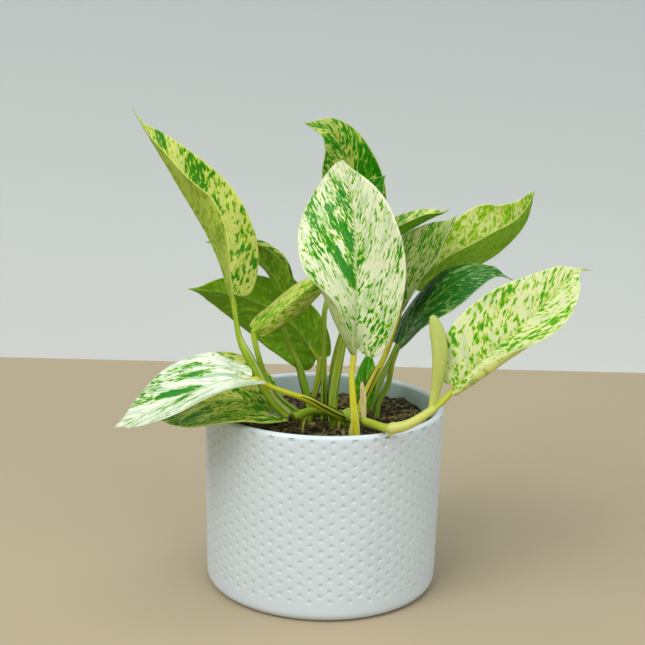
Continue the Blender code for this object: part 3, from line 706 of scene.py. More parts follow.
def papery_sheath():
    """Dead leaf sheath: thin straw-coloured paper, ribbed lengthways, brown at the tip."""
    material, tree = new_material("papery_dry_sheath")
    vein_place = node(tree, "Attribute", attribute_name="vein_place", out=1)
    blade_place = node(tree, "Attribute", attribute_name="blade_place", out=1)
    share = node(tree, "SeparateXYZ", (blade_place,), out=1)
    stretched = node(tree, "VectorMath", (blade_place, (9.0, 1.5, 1.0)), operation="MULTIPLY")
    ribs = node(tree, "TexNoise", {"Vector": stretched, "Scale": 1.0, "Detail": 4.0})
    colour = node(tree, "Mix", {0: ribs, 6: rgba("#b9a25c"), 7: rgba("#e2dba6")}, **RGB)
    browned = node(tree, "MapRange", (share, 0.84, 0.95, 0.0, 0.9))
    colour = node(tree, "Mix", {0: browned, 6: colour, 7: rgba("#5a3216")}, **RGB)
    cells = node(tree, "TexNoise", {"Vector": vein_place, "Scale": 1.5, "Detail": 3.0})
    bump = node(tree, "Bump", {"Height": cells, "Strength": 0.6, "Distance": 0.2 * MM})
    shader = node(tree, "BsdfPrincipled", {
        "Base Color": colour, "Roughness": 0.7, "Normal": bump})
    node(tree, "OutputMaterial", (shader,))
    return material


def floor_paint():
    """Matt painted board: even and pale, with a faint mottling."""
    material, tree = new_material("pale_floor_paint")
    place = node(tree, "TexCoord", out=3)
    mottle = node(tree, "TexNoise", {"Vector": place, "Scale": 3.0, "Detail": 2.0})
    shade = node(tree, "MapRange", (mottle, 0.3, 0.7, 0.98, 1.02))
    colour = node(tree, "Mix", {0: 1.0, 6: rgba("#ad9f85"), 7: shade}, **SHADED)
    board = node(tree, "BsdfPrincipled", {
        "Base Color": colour, "Roughness": 0.7, "Specular IOR Level": 0.2})
    node(tree, "OutputMaterial", (board,))
    return material


def backdrop_paint():
    """Matt painted board with painted light, paler low down and darker higher up, and clear from
    behind so it hides no view.
    """
    material, tree = new_material("grey_backdrop_paint")
    height = node(tree, "SeparateXYZ", (node(tree, "TexCoord", out=3),), out=2)
    # painted light: the board is paler near the floor and darker from 0.34 m up
    painted_light_fade = node(tree, "MapRange", (height, 0.0, 0.34))
    colour = node(tree, "Mix", {0: painted_light_fade, 6: rgba("#d5dcde"), 7: rgba("#b1bcbf")}, **RGB)
    board = node(tree, "BsdfPrincipled", {
        "Base Color": colour, "Roughness": 0.9, "Specular IOR Level": 0.2})
    behind = node(tree, "NewGeometry", out=6)
    clear = node(tree, "BsdfTransparent")
    one_sided = node(tree, "MixShader", (behind, board, clear))
    node(tree, "OutputMaterial", (one_sided,))
    return material


# ---------------------------------------------------------------- the pot

def wall_radius(height, inset=0.0):
    """Outer wall radius in mm at a height above the base, less an inset."""
    return BASE_RADIUS + (RIM_RADIUS - BASE_RADIUS) * height / RIM_HEIGHT - inset


def arc(centre, radius, start, end, steps):
    """Points of an arc between two angles in degrees."""
    cx, cz = centre
    turns = [math.radians(start + (end - start) * k / steps) for k in range(steps + 1)]
    return [(cx + radius * math.cos(a), cz + radius * math.sin(a)) for a in turns]


def on_wall(angle, height, inset=0.0):
    """A point on the outer wall, or sunk into it by an inset."""
    radius = wall_radius(height, inset)
    return (radius * math.cos(angle), radius * math.sin(angle), height)


def build_pot(settings):
    """The pot with its dimples: one hexagonal cell of wall round each dimple, then
    plain bands, the rounded rim, the inside and the flat underside."""
    columns, rows = settings.dimple_columns, settings.dimple_rows
    pitch = settings.dimple_pitch / MM
    first = RIM_HEIGHT - settings.first_dimple / MM
    radius = settings.dimple_radius / MM
    depth = settings.dimple_depth / MM
    step = 2 * math.pi / columns / 6
    points, relief, faces, corners = [], [], [], {}

    def level(quarter):
        return first + quarter * pitch / 4 * (TOP_SQUEEZE if quarter > 0 else 1.0)

    def corner(turn, quarter):
        key = (turn % (6 * columns), quarter)
        if key not in corners:
            corners[key] = len(points)
            points.append(on_wall(turn * step, level(quarter)))
            relief.append((0, 0, 0))
        return corners[key]

    draw = np.random.default_rng(17)
    for column in range(columns):
        odd = column % 2
        for row in range(rows - odd):
            centre = -4 * row - 2 * odd
            turn = 6 * column
            outer = [corner(turn + dt, centre + dq) for dt, dq in CELL_EDGE]
            shift = draw.normal(0, 0.16, 2)
            size = radius * draw.normal(1.0, 0.05)
            deep = depth * draw.normal(1.0, 0.08)
            angle0 = turn * step + shift[0] / BASE_RADIUS
            height0 = level(centre) + shift[1]
            made = []
            for share, sunk in DIMPLE_RINGS:
                ring = [on_wall(angle0 + share * size * math.cos(a) / BASE_RADIUS,
                                height0 + share * size * math.sin(a), deep * sunk)
                        for a in around(DIMPLE_SIDES)[:1 if share == 0 else None]]
                made.append(add_points(points, ring))
                relief += [(sunk, 0, 0)] * len(ring)
            faces += [f[::-1] for f in bridge(made + [outer])]

    top, bottom = [], []
    low = -4 * (rows - 1)
    for turn in range(0, 6 * columns, 12):
        for dt, up in BAND_EDGE:
            top.append(corner(turn + dt, up))
            bottom.append(corner(turn + dt, low - up))
    turns = [math.atan2(points[v][1], points[v][0]) for v in top]

    def turned(profile, mark):
        made = []
        for r, h in profile:
            ring = level_ring(r, h, turns)
            made.append(add_points(points, ring))
            relief.extend([mark(r, h)] * len(ring))
        return made

    lip = WALL / 2
    over = arc((wall_radius(RIM_HEIGHT - lip, lip), RIM_HEIGHT - lip), lip, 18, 180, 9)
    inner_low = FLOOR + INNER_FILLET
    inside = [(wall_radius(h, WALL), h) for h in (RIM_HEIGHT - 6, RIM_HEIGHT - 12, 60.0, 30.0)]
    inside += arc((wall_radius(inner_low, WALL + INNER_FILLET), inner_low), INNER_FILLET,
                  0, -90, 4)
    inside.append((0.0, FLOOR))

    # painted shade: the inner wall is marked from nothing at the rim to full 3 mm below it, for a
    # darker, greener tone that stands in for shade and green light from the leaves
    def mark_inner_shade(r, h):
        within = r < wall_radius(h, WALL - 0.6)
        inner_shade = min(1.0, max(0.0, (RIM_HEIGHT - h) / 3.0)) if within else 0.0
        return (0.0, inner_shade, 0.0)

    def mark_lower(r, h):
        bare = h < 0.01 and 0.1 < r < 54
        return (0.0, 0.0, 1.0 if bare else 0.0)

    faces += bridge([top] + turned(over + inside, mark_inner_shade))
    under = [(wall_radius(6.6), 6.6)]
    under += arc((wall_radius(BASE_EDGE, BASE_EDGE), BASE_EDGE), BASE_EDGE, 0, -90, 7)
    under += [(BASE_RADIUS - 8.0, 0.0), (BASE_RADIUS - 9.0, 0.0), (30.0, 0.0), (0.0, 0.0)]
    faces += bridge(turned(under, mark_lower)[::-1] + [bottom])

    make_piece("pot_dimpled", np.array(points) * MM, faces, glazed_stoneware(settings),
               {"relief": relief}, ("pot",))


# ---------------------------------------------------------------- the soil

def soil_height(x, y):
    """Height of the soil surface in mm, counted from the rim plane."""
    away = math.hypot(x - MOUND_CENTRE[0], y - MOUND_CENTRE[1]) / MOUND_SPREAD
    return -SOIL_DROP + MOUND_HEIGHT * math.exp(-away * away)


def lumpy_height(x, y):
    """The soil surface with its lumps and hollows."""
    lumps = noise.fractal(Vector((x / LUMPS_ACROSS, y / LUMPS_ACROSS, 4.2)), 0.8, 2.1, 5)
    grains = abs(noise.noise(Vector((x / GRAINS_ACROSS, y / GRAINS_ACROSS, 7.7))))
    return soil_height(x, y) + LUMPS * lumps + GRAINS * grains - GRAINS / 2


def build_soil(settings):
    """The block of potting mix, with a rough crumbly top, down to the pot's floor."""
    angles = around(SOIL_SECTORS)
    rim = wall_radius(RIM_HEIGHT - SOIL_DROP, WALL + 0.15)
    points, rings = [], []
    for k in range(SOIL_STEPS + 1):
        ring = level_ring(rim * k / SOIL_STEPS, 0, angles)
        rings.append(add_points(points, [(x, y, lumpy_height(x, y)) for x, y, _ in ring]))
    low = FLOOR + INNER_FILLET
    wall = [(wall_radius(h, WALL + SOIL_GAP), h) for h in (70.0, 40.0)]
    wall += arc((wall_radius(low, WALL + INNER_FILLET), low), INNER_FILLET - SOIL_GAP,
                0, -90, 4)
    for r, h in wall + [(0, FLOOR + SOIL_GAP)]:
        rings.append(add_points(points, level_ring(r, h - RIM_HEIGHT, angles)))
    make_piece("potting_mix", placed(points), [f[::-1] for f in bridge(rings)],
               potting_mix(settings), None, ("soil",))


def random_spot(draw, reach):
    """A spot on the soil, as likely in one place as in another."""
    r = reach * math.sqrt(draw.random())
    a = draw.random() * 2 * math.pi
    return r * math.cos(a), r * math.sin(a)


def build_crumbs(settings):
    """Loose crumbs of peat and bark on the surface: each a knobbly flattened lump."""
    ball = bmesh.new()
    bmesh.ops.create_icosphere(ball, subdivisions=2, radius=1.0)
    knob = np.array([v.co[:] for v in ball.verts])
    sides = [[v.index for v in f.verts] for f in ball.faces]
    ball.free()
    draw = np.random.default_rng(5)
    points, faces, tones = [], [], []
    reach = wall_radius(RIM_HEIGHT - SOIL_DROP, WALL) - 1.8
    for number in range(settings.crumb_count):
        x, y = random_spot(draw, reach)
        size = min(CRUMB_LIMIT, float(draw.lognormal(0.0, 0.42)))
        shape = np.array([draw.uniform(*span) for span in ((0.8, 1.5), (0.6, 1.0), (0.4, 0.8))])
        # straw-coloured bits are longer and flatter, and more of them lie at the front; their tone
        # is partly the bits' own straw colour and partly painted highlight on the crumbs
        straw = float(draw.random() < (STRAW_SHARE_FRONT if y < FRONT_EDGE else STRAW_SHARE))
        if straw:
            shape *= (1.5, 0.7, 0.5)
        bumps = np.array([noise.noise(Vector(k * 1.3 + number)) for k in knob])
        lump = knob * (1 + 0.35 * bumps[:, None]) * shape * size
        turn = (Matrix.Rotation(draw.random() * 6.28, 3, "Z")
                @ Matrix.Rotation(draw.normal(0, 0.6), 3, "X"))
        lump = lump @ np.array(turn).T + (x, y, lumpy_height(x, y) + size * 0.12)
        start = len(points) * len(knob)
        points.append(lump)
        faces += [[start + v for v in side] for side in sides]
        tone = draw.uniform(0.25, 0.95) if straw else draw.uniform(0.0, 0.2)
        tones.append(np.tile((tone, draw.random(), 0.0), (len(knob), 1)))
    make_piece("soil_crumbs", placed(np.vstack(points)), faces, loose_bits(settings),
               {"tone": np.vstack(tones)}, ())


def build_fibres(settings):
    """Thin root and coir fibres that wander over the crumbs."""
    draw = np.random.default_rng(11)
    points, faces, tones = [], [], []
    reach = wall_radius(RIM_HEIGHT - SOIL_DROP, WALL) - 4
    for _ in range(settings.fibre_count):
        x, y = random_spot(draw, reach)
        heading = draw.random() * 2 * math.pi
        thick = draw.uniform(0.10, 0.24)
        line = []
        for k in range(int(draw.integers(6, 14))):
            lift = 0.9 + 0.7 * math.sin(k * 1.1)
            line.append((x, y, lumpy_height(x, y) + lift * 0.5))
            heading += draw.normal(0, 0.45)
            x += FIBRE_STEP * math.cos(heading)
            y += FIBRE_STEP * math.sin(heading)
            if math.hypot(x, y) > reach:
                break
        if len(line) < 4:
            continue
        path = smooth_path(line, np.linspace(0, 1, 3 * len(line)))
        tube, rings = tube_points(path, np.full(len(path), thick), 5, len(points))
        points += tube
        faces += bridge(rings)
        tones += [(draw.uniform(0.25, 0.9), 0.5, 0.0)] * len(tube)
    make_piece("soil_fibres", placed(points), faces, loose_bits(settings),
               {"tone": tones}, ())


# ---------------------------------------------------------------- sweeps

def path_frames(path, end_normal):
    """Tangents and two directions across a path; the first faces end_normal at its end."""
    tangents = units(np.gradient(path, axis=0))
    up = np.array(end_normal, float)
    ups = np.zeros_like(path)
    for k in range(len(path) - 1, -1, -1):
        up = up - tangents[k] * (up @ tangents[k])
        up /= np.linalg.norm(up)
        ups[k] = up
    return tangents, ups, np.cross(tangents, ups)


def tube_points(path, widths, sides, start):
    """Points and rings of vertex numbers for a round tube with pointed ends."""
    tangents, ups, across = path_frames(path, (0.01, 0.02, 1.0))
    points = [path[0] - tangents[0] * widths[0] * 0.5]
    rings = [[0]]
    for k, spot in enumerate(path):
        rings.append(add_points(points, [
            spot + widths[k] * (across[k] * math.cos(a) - ups[k] * math.sin(a))
            for a in around(sides)]))
    rings.append(add_points(points, [path[-1] + tangents[-1] * widths[-1] * 0.5]))
    return points, [[start + v for v in ring] for ring in rings]


def sweep(path, section, end_normal):
    """A closed bar: section(k) gives (across, up) offsets in mm at each path point."""
    tangents, ups, across = path_frames(path, end_normal)
    points = [path[0] - tangents[0] * np.abs(section(0)).max() * 0.4]
    rings = [[0]]
    for k, spot in enumerate(path):
        offsets = section(k)
        ring = spot + offsets[:, :1] * across[k] + offsets[:, 1:] * ups[k]
        rings.append(add_points(points, list(ring)))
    last = np.abs(section(len(path) - 1)).max()
    rings.append(add_points(points, [path[-1] + tangents[-1] * last * 0.4]))
    return np.array(points), rings


def build_bar(name, path, section, end_normal, skin, across, layer, tint, tips):
    """A swept piece with what its skin needs at each point: its place across and along
    the bar in a layer of the pattern, and its tint. tips are the tints of its two ends."""
    points, rings = sweep(path, section, end_normal)
    reach = lengths_along(path)
    shape = (len(path), len(rings[1]))

    def stored(values, first, last):
        rows = np.stack([np.broadcast_to(v, shape) for v in values], -1).reshape(-1, 3)
        return np.vstack((first, rows, last))

    places = {
        "stalk_place": stored((across, reach[:, None], layer), (0, 0, 0), (0, reach[-1], 0)),
        "tint": stored(tint, *tips),
    }
    make_piece(name, placed(points), bridge(rings), skin, places, (name,))


# ---------------------------------------------------------------- leaves

def midrib_line(points):
    """Fine points along a midrib, the share of its length at each, and its length."""
    fine = smooth_path(points, np.linspace(0, 1, MIDRIB_STEPS))
    reach = lengths_along(fine)
    return fine, reach / reach[-1], reach[-1]


def blade_points(leaf, midrib, share, across):
    """Points of the blade's middle surface: share along the midrib, across in mm."""
    fine, reach, length = midrib
    inside = np.clip(share, 0, 1)
    tangent = units(spots_at(np.gradient(fine, axis=0), reach, inside))
    centre = spots_at(fine, reach, inside) + tangent * ((share - inside) * length)[..., None]
    base_face, tip_face = (unit(np.array(leaf["face"][k], float)) for k in (0, -1))
    normal = base_face + (tip_face - base_face) * inside[..., None]
    normal = units(normal - tangent * (normal * tangent).sum(-1, keepdims=True))
    side = np.cross(tangent, normal)
    right = across > 0
    half = np.where(right, leaf["half"][1], leaf["half"][0])

    def blend(values):
        places = np.linspace(0, 1, len(values))
        left_half, right_half = (
            np.interp(inside, places, [v[k] for v in values]) for k in (0, 1))
        return np.where(right, right_half, left_half)

    spread = np.abs(across) / half
    rise = np.radians(blend(leaf["fold"]) + blend(leaf["curl"]) * spread ** 2)
    sideways = (across * np.cos(rise))[..., None]
    up = (np.abs(across) * np.sin(rise))[..., None]
    return centre + side * sideways + normal * up


def blade_grid(leaf):
    """The blade's middle surface as rows and columns, with where each point lies."""
    steps = (len(OUTLINE) - 1) * ROWS_PER_STEP
    margin, width, start = smooth_path(OUTLINE, np.linspace(0, 1, steps + 1)).T[..., None]
    width = np.clip(width, 0, None)
    width[[0, -1]] = 0.0
    columns = np.linspace(-1, 1, 2 * BLADE_COLUMNS + 1)
    u = np.sign(columns) * np.abs(columns) ** COLUMN_SPREAD
    share = start + (margin - start) * np.abs(u) ** ROW_SWEEP
    half, point, taper = (
        np.where(u > 0, leaf[k][1], leaf[k][0]) for k in ("half", "point", "taper"))
    full = np.where(margin > WIDEST, width ** point, width)
    across = u * half * full * (1 + taper * (WIDEST - margin))
    across = across * (1 - leaf["drip"] * np.clip((margin - DRIP_START) / DRIP_LENGTH, 0, 1))
    midrib = midrib_line(leaf["midrib"])
    spots = blade_points(leaf, midrib, share, across)
    normal = np.cross(np.gradient(spots, axis=1), np.gradient(spots, axis=0))
    normal = normal / np.maximum(np.linalg.norm(normal, axis=-1, keepdims=True), 1e-9)
    for empty, near in ((0, 2), (1, 2), (-1, -3), (-2, -3)):
        normal[empty] = normal[near]
    return spots, normal, share, across, np.broadcast_to(u, share.shape), midrib[2]


def rolled(spots, normal, u, share, roll):
    """The blade with the outer part of one half rolled up, between two shares."""
    side, crease, degrees, low, high = roll
    order = [j for j in range(len(u)) if u[j] * side > crease]
    if side < 0:
        order = order[::-1]
    fade = np.clip((share - low) / ROLL_IN, 0, 1) * np.clip((high - share) / ROLL_OUT, 0, 1)
    fade = fade * fade * (3 - 2 * fade)
    turned, facing = spots.copy(), normal.copy()
    for j in order:
        back = j - side
        step = spots[:, j] - spots[:, back]
        turn = np.radians(degrees) * fade[:, j] * (abs(u[j]) - crease) / (1 - crease)
        length = np.linalg.norm(step, axis=-1, keepdims=True)
        along = step / np.maximum(length, 1e-9)
        cos, sin = np.cos(turn)[:, None], np.sin(turn)[:, None]
        turned[:, j] = turned[:, back] + length * (along * cos + normal[:, j] * sin)
        facing[:, j] = normal[:, j] * cos - along * sin
    return turned, facing


def build_blade(name, leaf, material, thickness):
    """One blade: veins sunk into its upper face, a rib below, a gently waved margin."""
    spots, normal, share, across, u, length = blade_grid(leaf)
    spread, reach, sign = np.abs(u), np.abs(across), np.where(u > 0, 1.0, -1.0)
    inside = np.clip(share, 0, 1)
    base_angle, tip_angle = leaf["angle"]
    angle = np.radians(base_angle + (tip_angle - base_angle) * inside)
    vein = share * length - reach / np.tan(angle)
    along_vein = reach / np.sin(angle)
    if "roll" in leaf:
        spots, normal = rolled(spots, normal, u[0], share, leaf["roll"])

    tall, waves = leaf["wave"]
    seed = leaf["seed"]
    wave = tall * spread ** 3 * np.sin(2 * math.pi * (waves * share + 0.37 * seed) + sign * 0.9)
    wave *= np.clip(share / WAVE_IN, 0, 1) * np.clip((1 - share) / WAVE_OUT, 0, 1)
    pillow = PILLOW * np.cos(2 * math.pi * vein / VEIN_GAP)
    pillow = pillow * np.clip(spread * 5, 0, 1) * (1 - spread ** 4)
    lumps = np.array([noise.noise(Vector((a / LUMP_SIZE, b / LUMP_SIZE, seed * 3.0)))
                      for a, b in zip(vein.ravel(), across.ravel())]).reshape(share.shape)
    body = wave + pillow + LUMP_HEIGHT * lumps * np.clip(spread * 3, 0, 1)
    thin = 1 - MARGIN_THINNING * spread ** 4
    groove = GROOVE * np.exp(-(across / GROOVE_WIDTH) ** 2) * (1 - inside) ** 0.4
    rib = RIB * np.exp(-(across / RIB_WIDTH) ** 2) * (1 - inside) ** 0.6
    upper = spots + normal * (body + thickness / 2 * thin - groove)[..., None]
    lower = spots + normal * (body - thickness / 2 * thin - rib)[..., None]
    for end in (0, -1):  # both faces meet in one point at the base and at the tip
        upper[end] = lower[end] = (upper[end].mean(0) + lower[end].mean(0)) / 2

    patch = np.zeros_like(share)
    for side, at, along, wide, long, strength in leaf["patches"]:
        far = ((vein - at) / wide) ** 2 + ((along_vein - along) / long) ** 2
        patch += np.where(sign == side, strength * np.exp(-far ** 1.5), 0.0)

    index = np.arange(share.size).reshape(share.shape)
    quads = np.stack((index[:-1, :-1], index[:-1, 1:], index[1:, 1:], index[1:, :-1]), -1)
    quads = quads.reshape(-1, 4)
    faces = quads.tolist() + (quads[:, ::-1] + share.size).tolist()
    for column, turn in ((0, 1), (-1, -1)):
        line = index[:, column].tolist()
        for p, q in zip(line, line[1:]):
            faces.append([p, q, q + share.size, p + share.size][::turn])

    def stored(*values, below=()):
        """Three values at each point of the upper face, then of the lower face."""
        return np.vstack([
            np.stack([np.broadcast_to(v, share.shape).ravel() for v in face], 1)
            for face in (values, below or values)])

    places = {
        "vein_place": stored(vein, along_vein, sign * 20),
        "blade_place": stored(spread, share, 0.0, below=(spread, share, 1.0)),
        "marks": stored(patch, patch, patch),
    }
    points = np.vstack((upper.reshape(-1, 3), lower.reshape(-1, 3)))
    piece = make_piece(name, placed(points), faces, material, places, (name,))
    check_place(piece, name)


def check_place(piece, cad_node):
    """Stops if a piece has left the solid that it stands for."""
    low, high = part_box(cad_node)
    corners = np.array([v.co[:] for v in piece.data.vertices])
    off = max(np.abs(corners.min(0) - np.array(low)).max(),
              np.abs(corners.max(0) - np.array(high)).max())
    if off > PLACE_SLACK * MM:
        raise RuntimeError(f"{piece.name} lies {off / MM:.1f} mm off its solid {cad_node}")


def build_leaves(settings):
    """The fifteen blades, each with its own marking."""
    for name, leaf in LEAVES.items():
        leaf = {**PLAIN_LEAF, **leaf}
        build_blade("leaf_" + name, leaf, marbled_leaf(name, leaf), settings.thickness / MM)


# ---------------------------------------------------------------- stalks and stems

def buried_start(points):
    """Where a foot ends in the soil, straight below its first point."""
    x, y, _ = points[0]
    return (x, y, soil_height(x, y) - BURIED_DEPTH)


def from_top(turns):
    """Angles round a bar as angles away from its upper side."""
    return np.abs((turns + math.pi) % (2 * math.pi) - math.pi)


def ringed_section(turns, radius, groove, wing, squash=1.0):
    """Offsets round a stalk: a channel on its upper side between two thin wings."""
    away = from_top(turns)
    r = radius * (1 - groove * np.exp(-(away / CHANNEL_WIDTH) ** 2))
    r = r + wing * np.exp(-((away - WING_AT) / WING_WIDTH) ** 2)
    return np.stack([r * np.sin(turns), r * np.cos(turns) * squash], 1)


# Sides of a stalk, closer together round its channel and wings.
STALK_TURNS = np.concatenate([
    np.linspace(-1.3, 1.3, 23)[:-1], np.linspace(1.3, 2 * math.pi - 1.3, 14)[:-1]])


def build_stalks(settings):
    """The leaf stalks, each from the soil or its stem to a little way under its blade."""
    skin = leaf_stalk_skin(settings)
    crest = np.exp(-((from_top(STALK_TURNS) - WING_AT) / EDGE_WIDTH) ** 2)
    for name, stalk in STALKS.items():
        leaf = LEAVES[name]
        base, ahead = (np.array(p, float) for p in leaf["midrib"][:2])
        forward = unit(ahead - base)
        face = unit(np.array(leaf["face"][0], float))
        face = unit(face - forward * (face @ forward))
        path = list(stalk["points"]) + [tuple(base - forward * STALK_GAP)]
        if name in SOIL_FEET:
            path = [buried_start(path)] + path
        else:
            path[0] = tuple(np.array(path[0]) - JOIN_DEPTH * unit(np.array(path[1]) - path[0]))
        fine, shares, _ = midrib_line(leaf["midrib"])
        line = np.vstack((smooth_path(path, np.linspace(0, 1, STALK_STEPS)),
                          spots_at(fine, shares, UNDER_BLADE) - face * UNDER_DEPTH))
        steps = lengths_along(line)
        tip = steps[STALK_STEPS - 1]
        t = np.clip(steps / tip, 0, 1)
        foot = stalk["radius"]
        width = np.interp(t, (0, 0.3, 0.6, 0.85, 1),
                          (foot, foot * 0.98, foot * 0.86, 1.32, 1.28))
        width = width + KNEE_SWELL * np.exp(-((steps - tip + KNEE_BACK) / KNEE_LENGTH) ** 2)
        width[STALK_STEPS:] = UNDER_WIDTHS
        wing_high, wing_end = stalk["sheath"]
        wing = wing_high * np.clip((wing_end - t) / 0.18, 0, 1) ** 0.7
        groove = np.where(t < 1, 0.22, 0.05) + 0.2 * (wing > 0.1)
        twist = np.radians(stalk.get("turn", 0)) * (1 - t) ** 0.7

        def section(k):
            cos, sin = math.cos(twist[k]), math.sin(twist[k])
            flat = ringed_section(STALK_TURNS, width[k], groove[k], wing[k])
            return flat @ np.array(((cos, -sin), (sin, cos)))

        yellow = np.interp(t, (0, 0.5, 1), stalk["yellow"])
        shown = crest * np.minimum(1.0, wing / 0.5)[:, None]
        dry = stalk["dry"]
        build_bar("stalk_" + name, line, section, face, skin, STALK_TURNS * foot, foot * 11,
                  (yellow[:, None], shown * dry, shown * (1 - dry) * 0.7),
                  ((yellow[0], 0, 0), (yellow[-1], 0, 0)))


def build_stems(settings):
    """The creeping stems, swollen and ringed where leaves have been."""
    skin = leaf_stalk_skin(settings)
    turns = np.linspace(0, 2 * math.pi, STEM_SIDES + 1)[:-1]
    t = np.linspace(0, 1, STEM_STEPS)
    for name, stem in STEMS.items():
        line = smooth_path([buried_start(stem["points"]), *stem["points"]], t)
        width, yellow, pale = (
            np.interp(t, *zip(*stem[key])) for key in ("radii", "yellow", "pale"))
        ring = np.zeros(STEM_STEPS)
        for at in stem["nodes"]:
            swell, groove = (
                high * np.exp(-((t - at) / wide) ** 2) for high, wide in (NODE_SWELL, NODE_GROOVE))
            width = width * (1 + swell - groove)
            ring = ring + np.exp(-((t - at) / NODE_GROOVE[1]) ** 2)
        build_bar(name, line, lambda k: ringed_section(turns, width[k], 0.1, 0.0, stem["flat"]),
                  (0.0, 0.2, 1.0), skin, turns * 2.5, 40.0,
                  (yellow[:, None], 0.36 * np.minimum(1, ring)[:, None], pale[:, None]),
                  ((yellow[0], 0, 0), (yellow[-1], 0, 0)))


def build_root_stubs(settings):
    """Short aerial roots, brown and dried at the end, under the rings of the stems."""
    points, faces, places, tints = [], [], [], []
    for line, radius, dry in ROOT_STUBS:
        path = smooth_path(line, np.linspace(0, 1, STUB_STEPS))
        widths = np.linspace(radius, radius * 0.55, STUB_STEPS)
        tube, rings = tube_points(path, widths, STUB_SIDES, len(points))
        points += tube
        faces += bridge(rings)
        for n in range(len(tube)):
            places.append((n % STUB_SIDES * 0.4, n / STUB_SIDES, 9.0))
            tints.append((0.6, dry * (0.3 + n / len(tube)), 0.2))
    make_piece("root_stubs", placed(points), faces, leaf_stalk_skin(settings),
               {"stalk_place": places, "tint": tints}, ())


def build_spike(settings):
    """The youngest leaf: a blade still rolled round itself, its outer edge a seam."""
    t = np.linspace(0, 1, SPIKE_STEPS)
    line = smooth_path([p for p, _ in SPIKE], t)
    width = np.interp(t, np.linspace(0, 1, len(SPIKE)), [r for _, r in SPIKE])
    turns = np.linspace(0, 2 * math.pi, SPIKE_SIDES + 1)[:-1]
    wound = 1.0 - 0.22 * (turns / (2 * math.pi))

    def section(k):
        return np.stack([width[k] * wound * np.sin(turns + SPIKE_START),
                         width[k] * SPIKE_FLATNESS * wound * np.cos(turns + SPIKE_START)], 1)

    seam = np.arange(SPIKE_SIDES) < 2
    build_bar("young_leaf_spike", line, section, (0.3, -1.0, 0.0), leaf_stalk_skin(settings),
              turns * 3, 77.0,
              ((0.6 - 0.2 * t)[:, None], (0.04 + 0.1 * t)[:, None], 0.4 + 0.4 * seam),
              ((0.5, 0, 0), (0.4, 0.4, 0)))


def build_sheath():
    """The dead sheath, a small narrow blade of its own material."""
    build_blade("dried_sheath", {**PLAIN_LEAF, **SHEATH}, papery_sheath(), SHEATH_THICKNESS)


# ---------------------------------------------------------------- the stage

def build_stage(settings):
    """Pale floor, grey backdrop that only shows from the front, soft lights, camera."""
    back, half = settings.backdrop_distance, BACKDROP_HALF
    corners = [math.radians(a) for a in range(0, 360, 3)]
    panels = (
        ("floor", level_ring(FLOOR_RADIUS, 0, corners), floor_paint()),
        ("backdrop", [(-half, back, 0), (half, back, 0), (half, back, half), (-half, back, half)],
         backdrop_paint()))
    for name, outline, paint in panels:
        mesh = bpy.data.meshes.new(name)
        mesh.from_pydata(outline, [], [tuple(range(len(outline)))])
        mesh.materials.append(paint)
        obj = add_object(name, mesh)

    for name, place, aim, size, colour in LIGHTS:
        data = bpy.data.lights.new(name + "_light", "AREA")
        data.shape = "SQUARE"
        data.size = size * LIGHT_REACH
        data.energy = getattr(settings, name + "_power") * LIGHT_REACH ** 2
        data.color = colour
        aim = Vector(aim)
        place = aim + (Vector(place) - aim) * LIGHT_REACH
        lamp = add_object(name + "_light", data)
        lamp.location = place
        lamp.rotation_euler = (aim - place).to_track_quat("-Z", "Y").to_euler()

    world = bpy.data.worlds.new("soft_room")
    world.use_nodes = True
    sky = world.node_tree.nodes["Background"]
    sky.inputs["Color"].default_value = rgba("#e6eaea")
    sky.inputs["Strength"].default_value = settings.room_light
    bpy.context.scene.world = world
    bpy.context.scene.view_settings.view_transform = "Standard"

    pitch, yaw, roll = (math.radians(a) for a in (CAMERA_DOWN, CAMERA_TURN, CAMERA_ROLL))
    forward = Vector((math.sin(yaw) * math.cos(pitch), math.cos(yaw) * math.cos(pitch),
                      -math.sin(pitch)))
    level = Vector((math.cos(yaw), -math.sin(yaw), 0.0))
    upright = level.cross(forward)
    right = level * math.cos(roll) + upright * math.sin(roll)
    up = upright * math.cos(roll) - level * math.sin(roll)
    data = bpy.data.cameras.new("front_camera")
    data.sensor_width = 36.0
    data.lens = settings.focal_length
    camera = add_object("front_camera", data)
    turn = Matrix((right, up, -forward)).transposed().to_4x4()
    camera.matrix_world = Matrix.Translation(Vector(CAMERA_PLACE)) @ turn
    bpy.context.scene.camera = camera


# ---------------------------------------------------------------- settings

def length_setting(name, description, millimetres):
    """A length, given here in millimetres."""
    return FloatProperty(name=name, description=description, default=millimetres * MM,
                         min=0.0, precision=5, unit="LENGTH", subtype="DISTANCE")


def colour_setting(name, description, hex_colour):
    """A colour, given here as sRGB hex."""
    return FloatVectorProperty(name=name, description=description, default=linear(hex_colour),
                               min=0.0, max=1.0, size=3, subtype="COLOR")


def power_setting(name, description, watts):
    """The power of a light in watts."""
    return FloatProperty(name=name, description=description, default=watts, min=0.0,
                         unit="POWER")


class PotSettings(bpy.types.PropertyGroup):
    dimple_columns: IntProperty(
        name="Dimple columns", description="Columns of dimples round the pot, an even number",
        default=76, min=20)
    dimple_rows: IntProperty(
        name="Dimple rows", description="Dimples in the longer columns", default=15, min=2)
    dimple_pitch: length_setting("Dimple pitch", "Distance between dimples in a column", 5.85)
    dimple_radius: length_setting("Dimple radius", "Radius of one dimple", 1.5)
    dimple_depth: length_setting("Dimple depth", "Depth of one dimple", 0.5)
    first_dimple: length_setting(
        "First dimple", "Distance of the first dimple below the rim", 3.1)
    glaze: colour_setting("Glaze", "Main colour of the glaze", "#c8d3dc")
    glaze_pale: colour_setting("Pale glaze", "Where the glaze is thin", "#d2dde1")
    glaze_pool: colour_setting(
        "Pooled glaze", "Where the glaze is thick, in the dimples", "#b3c3cb")
    # painted shade: the inner wall's darker, greener tone stands in for shade and green light from
    # the leaves
    inner_wall_shade: colour_setting("Inner glaze", "Glaze on the inner wall", "#b7cdc6")


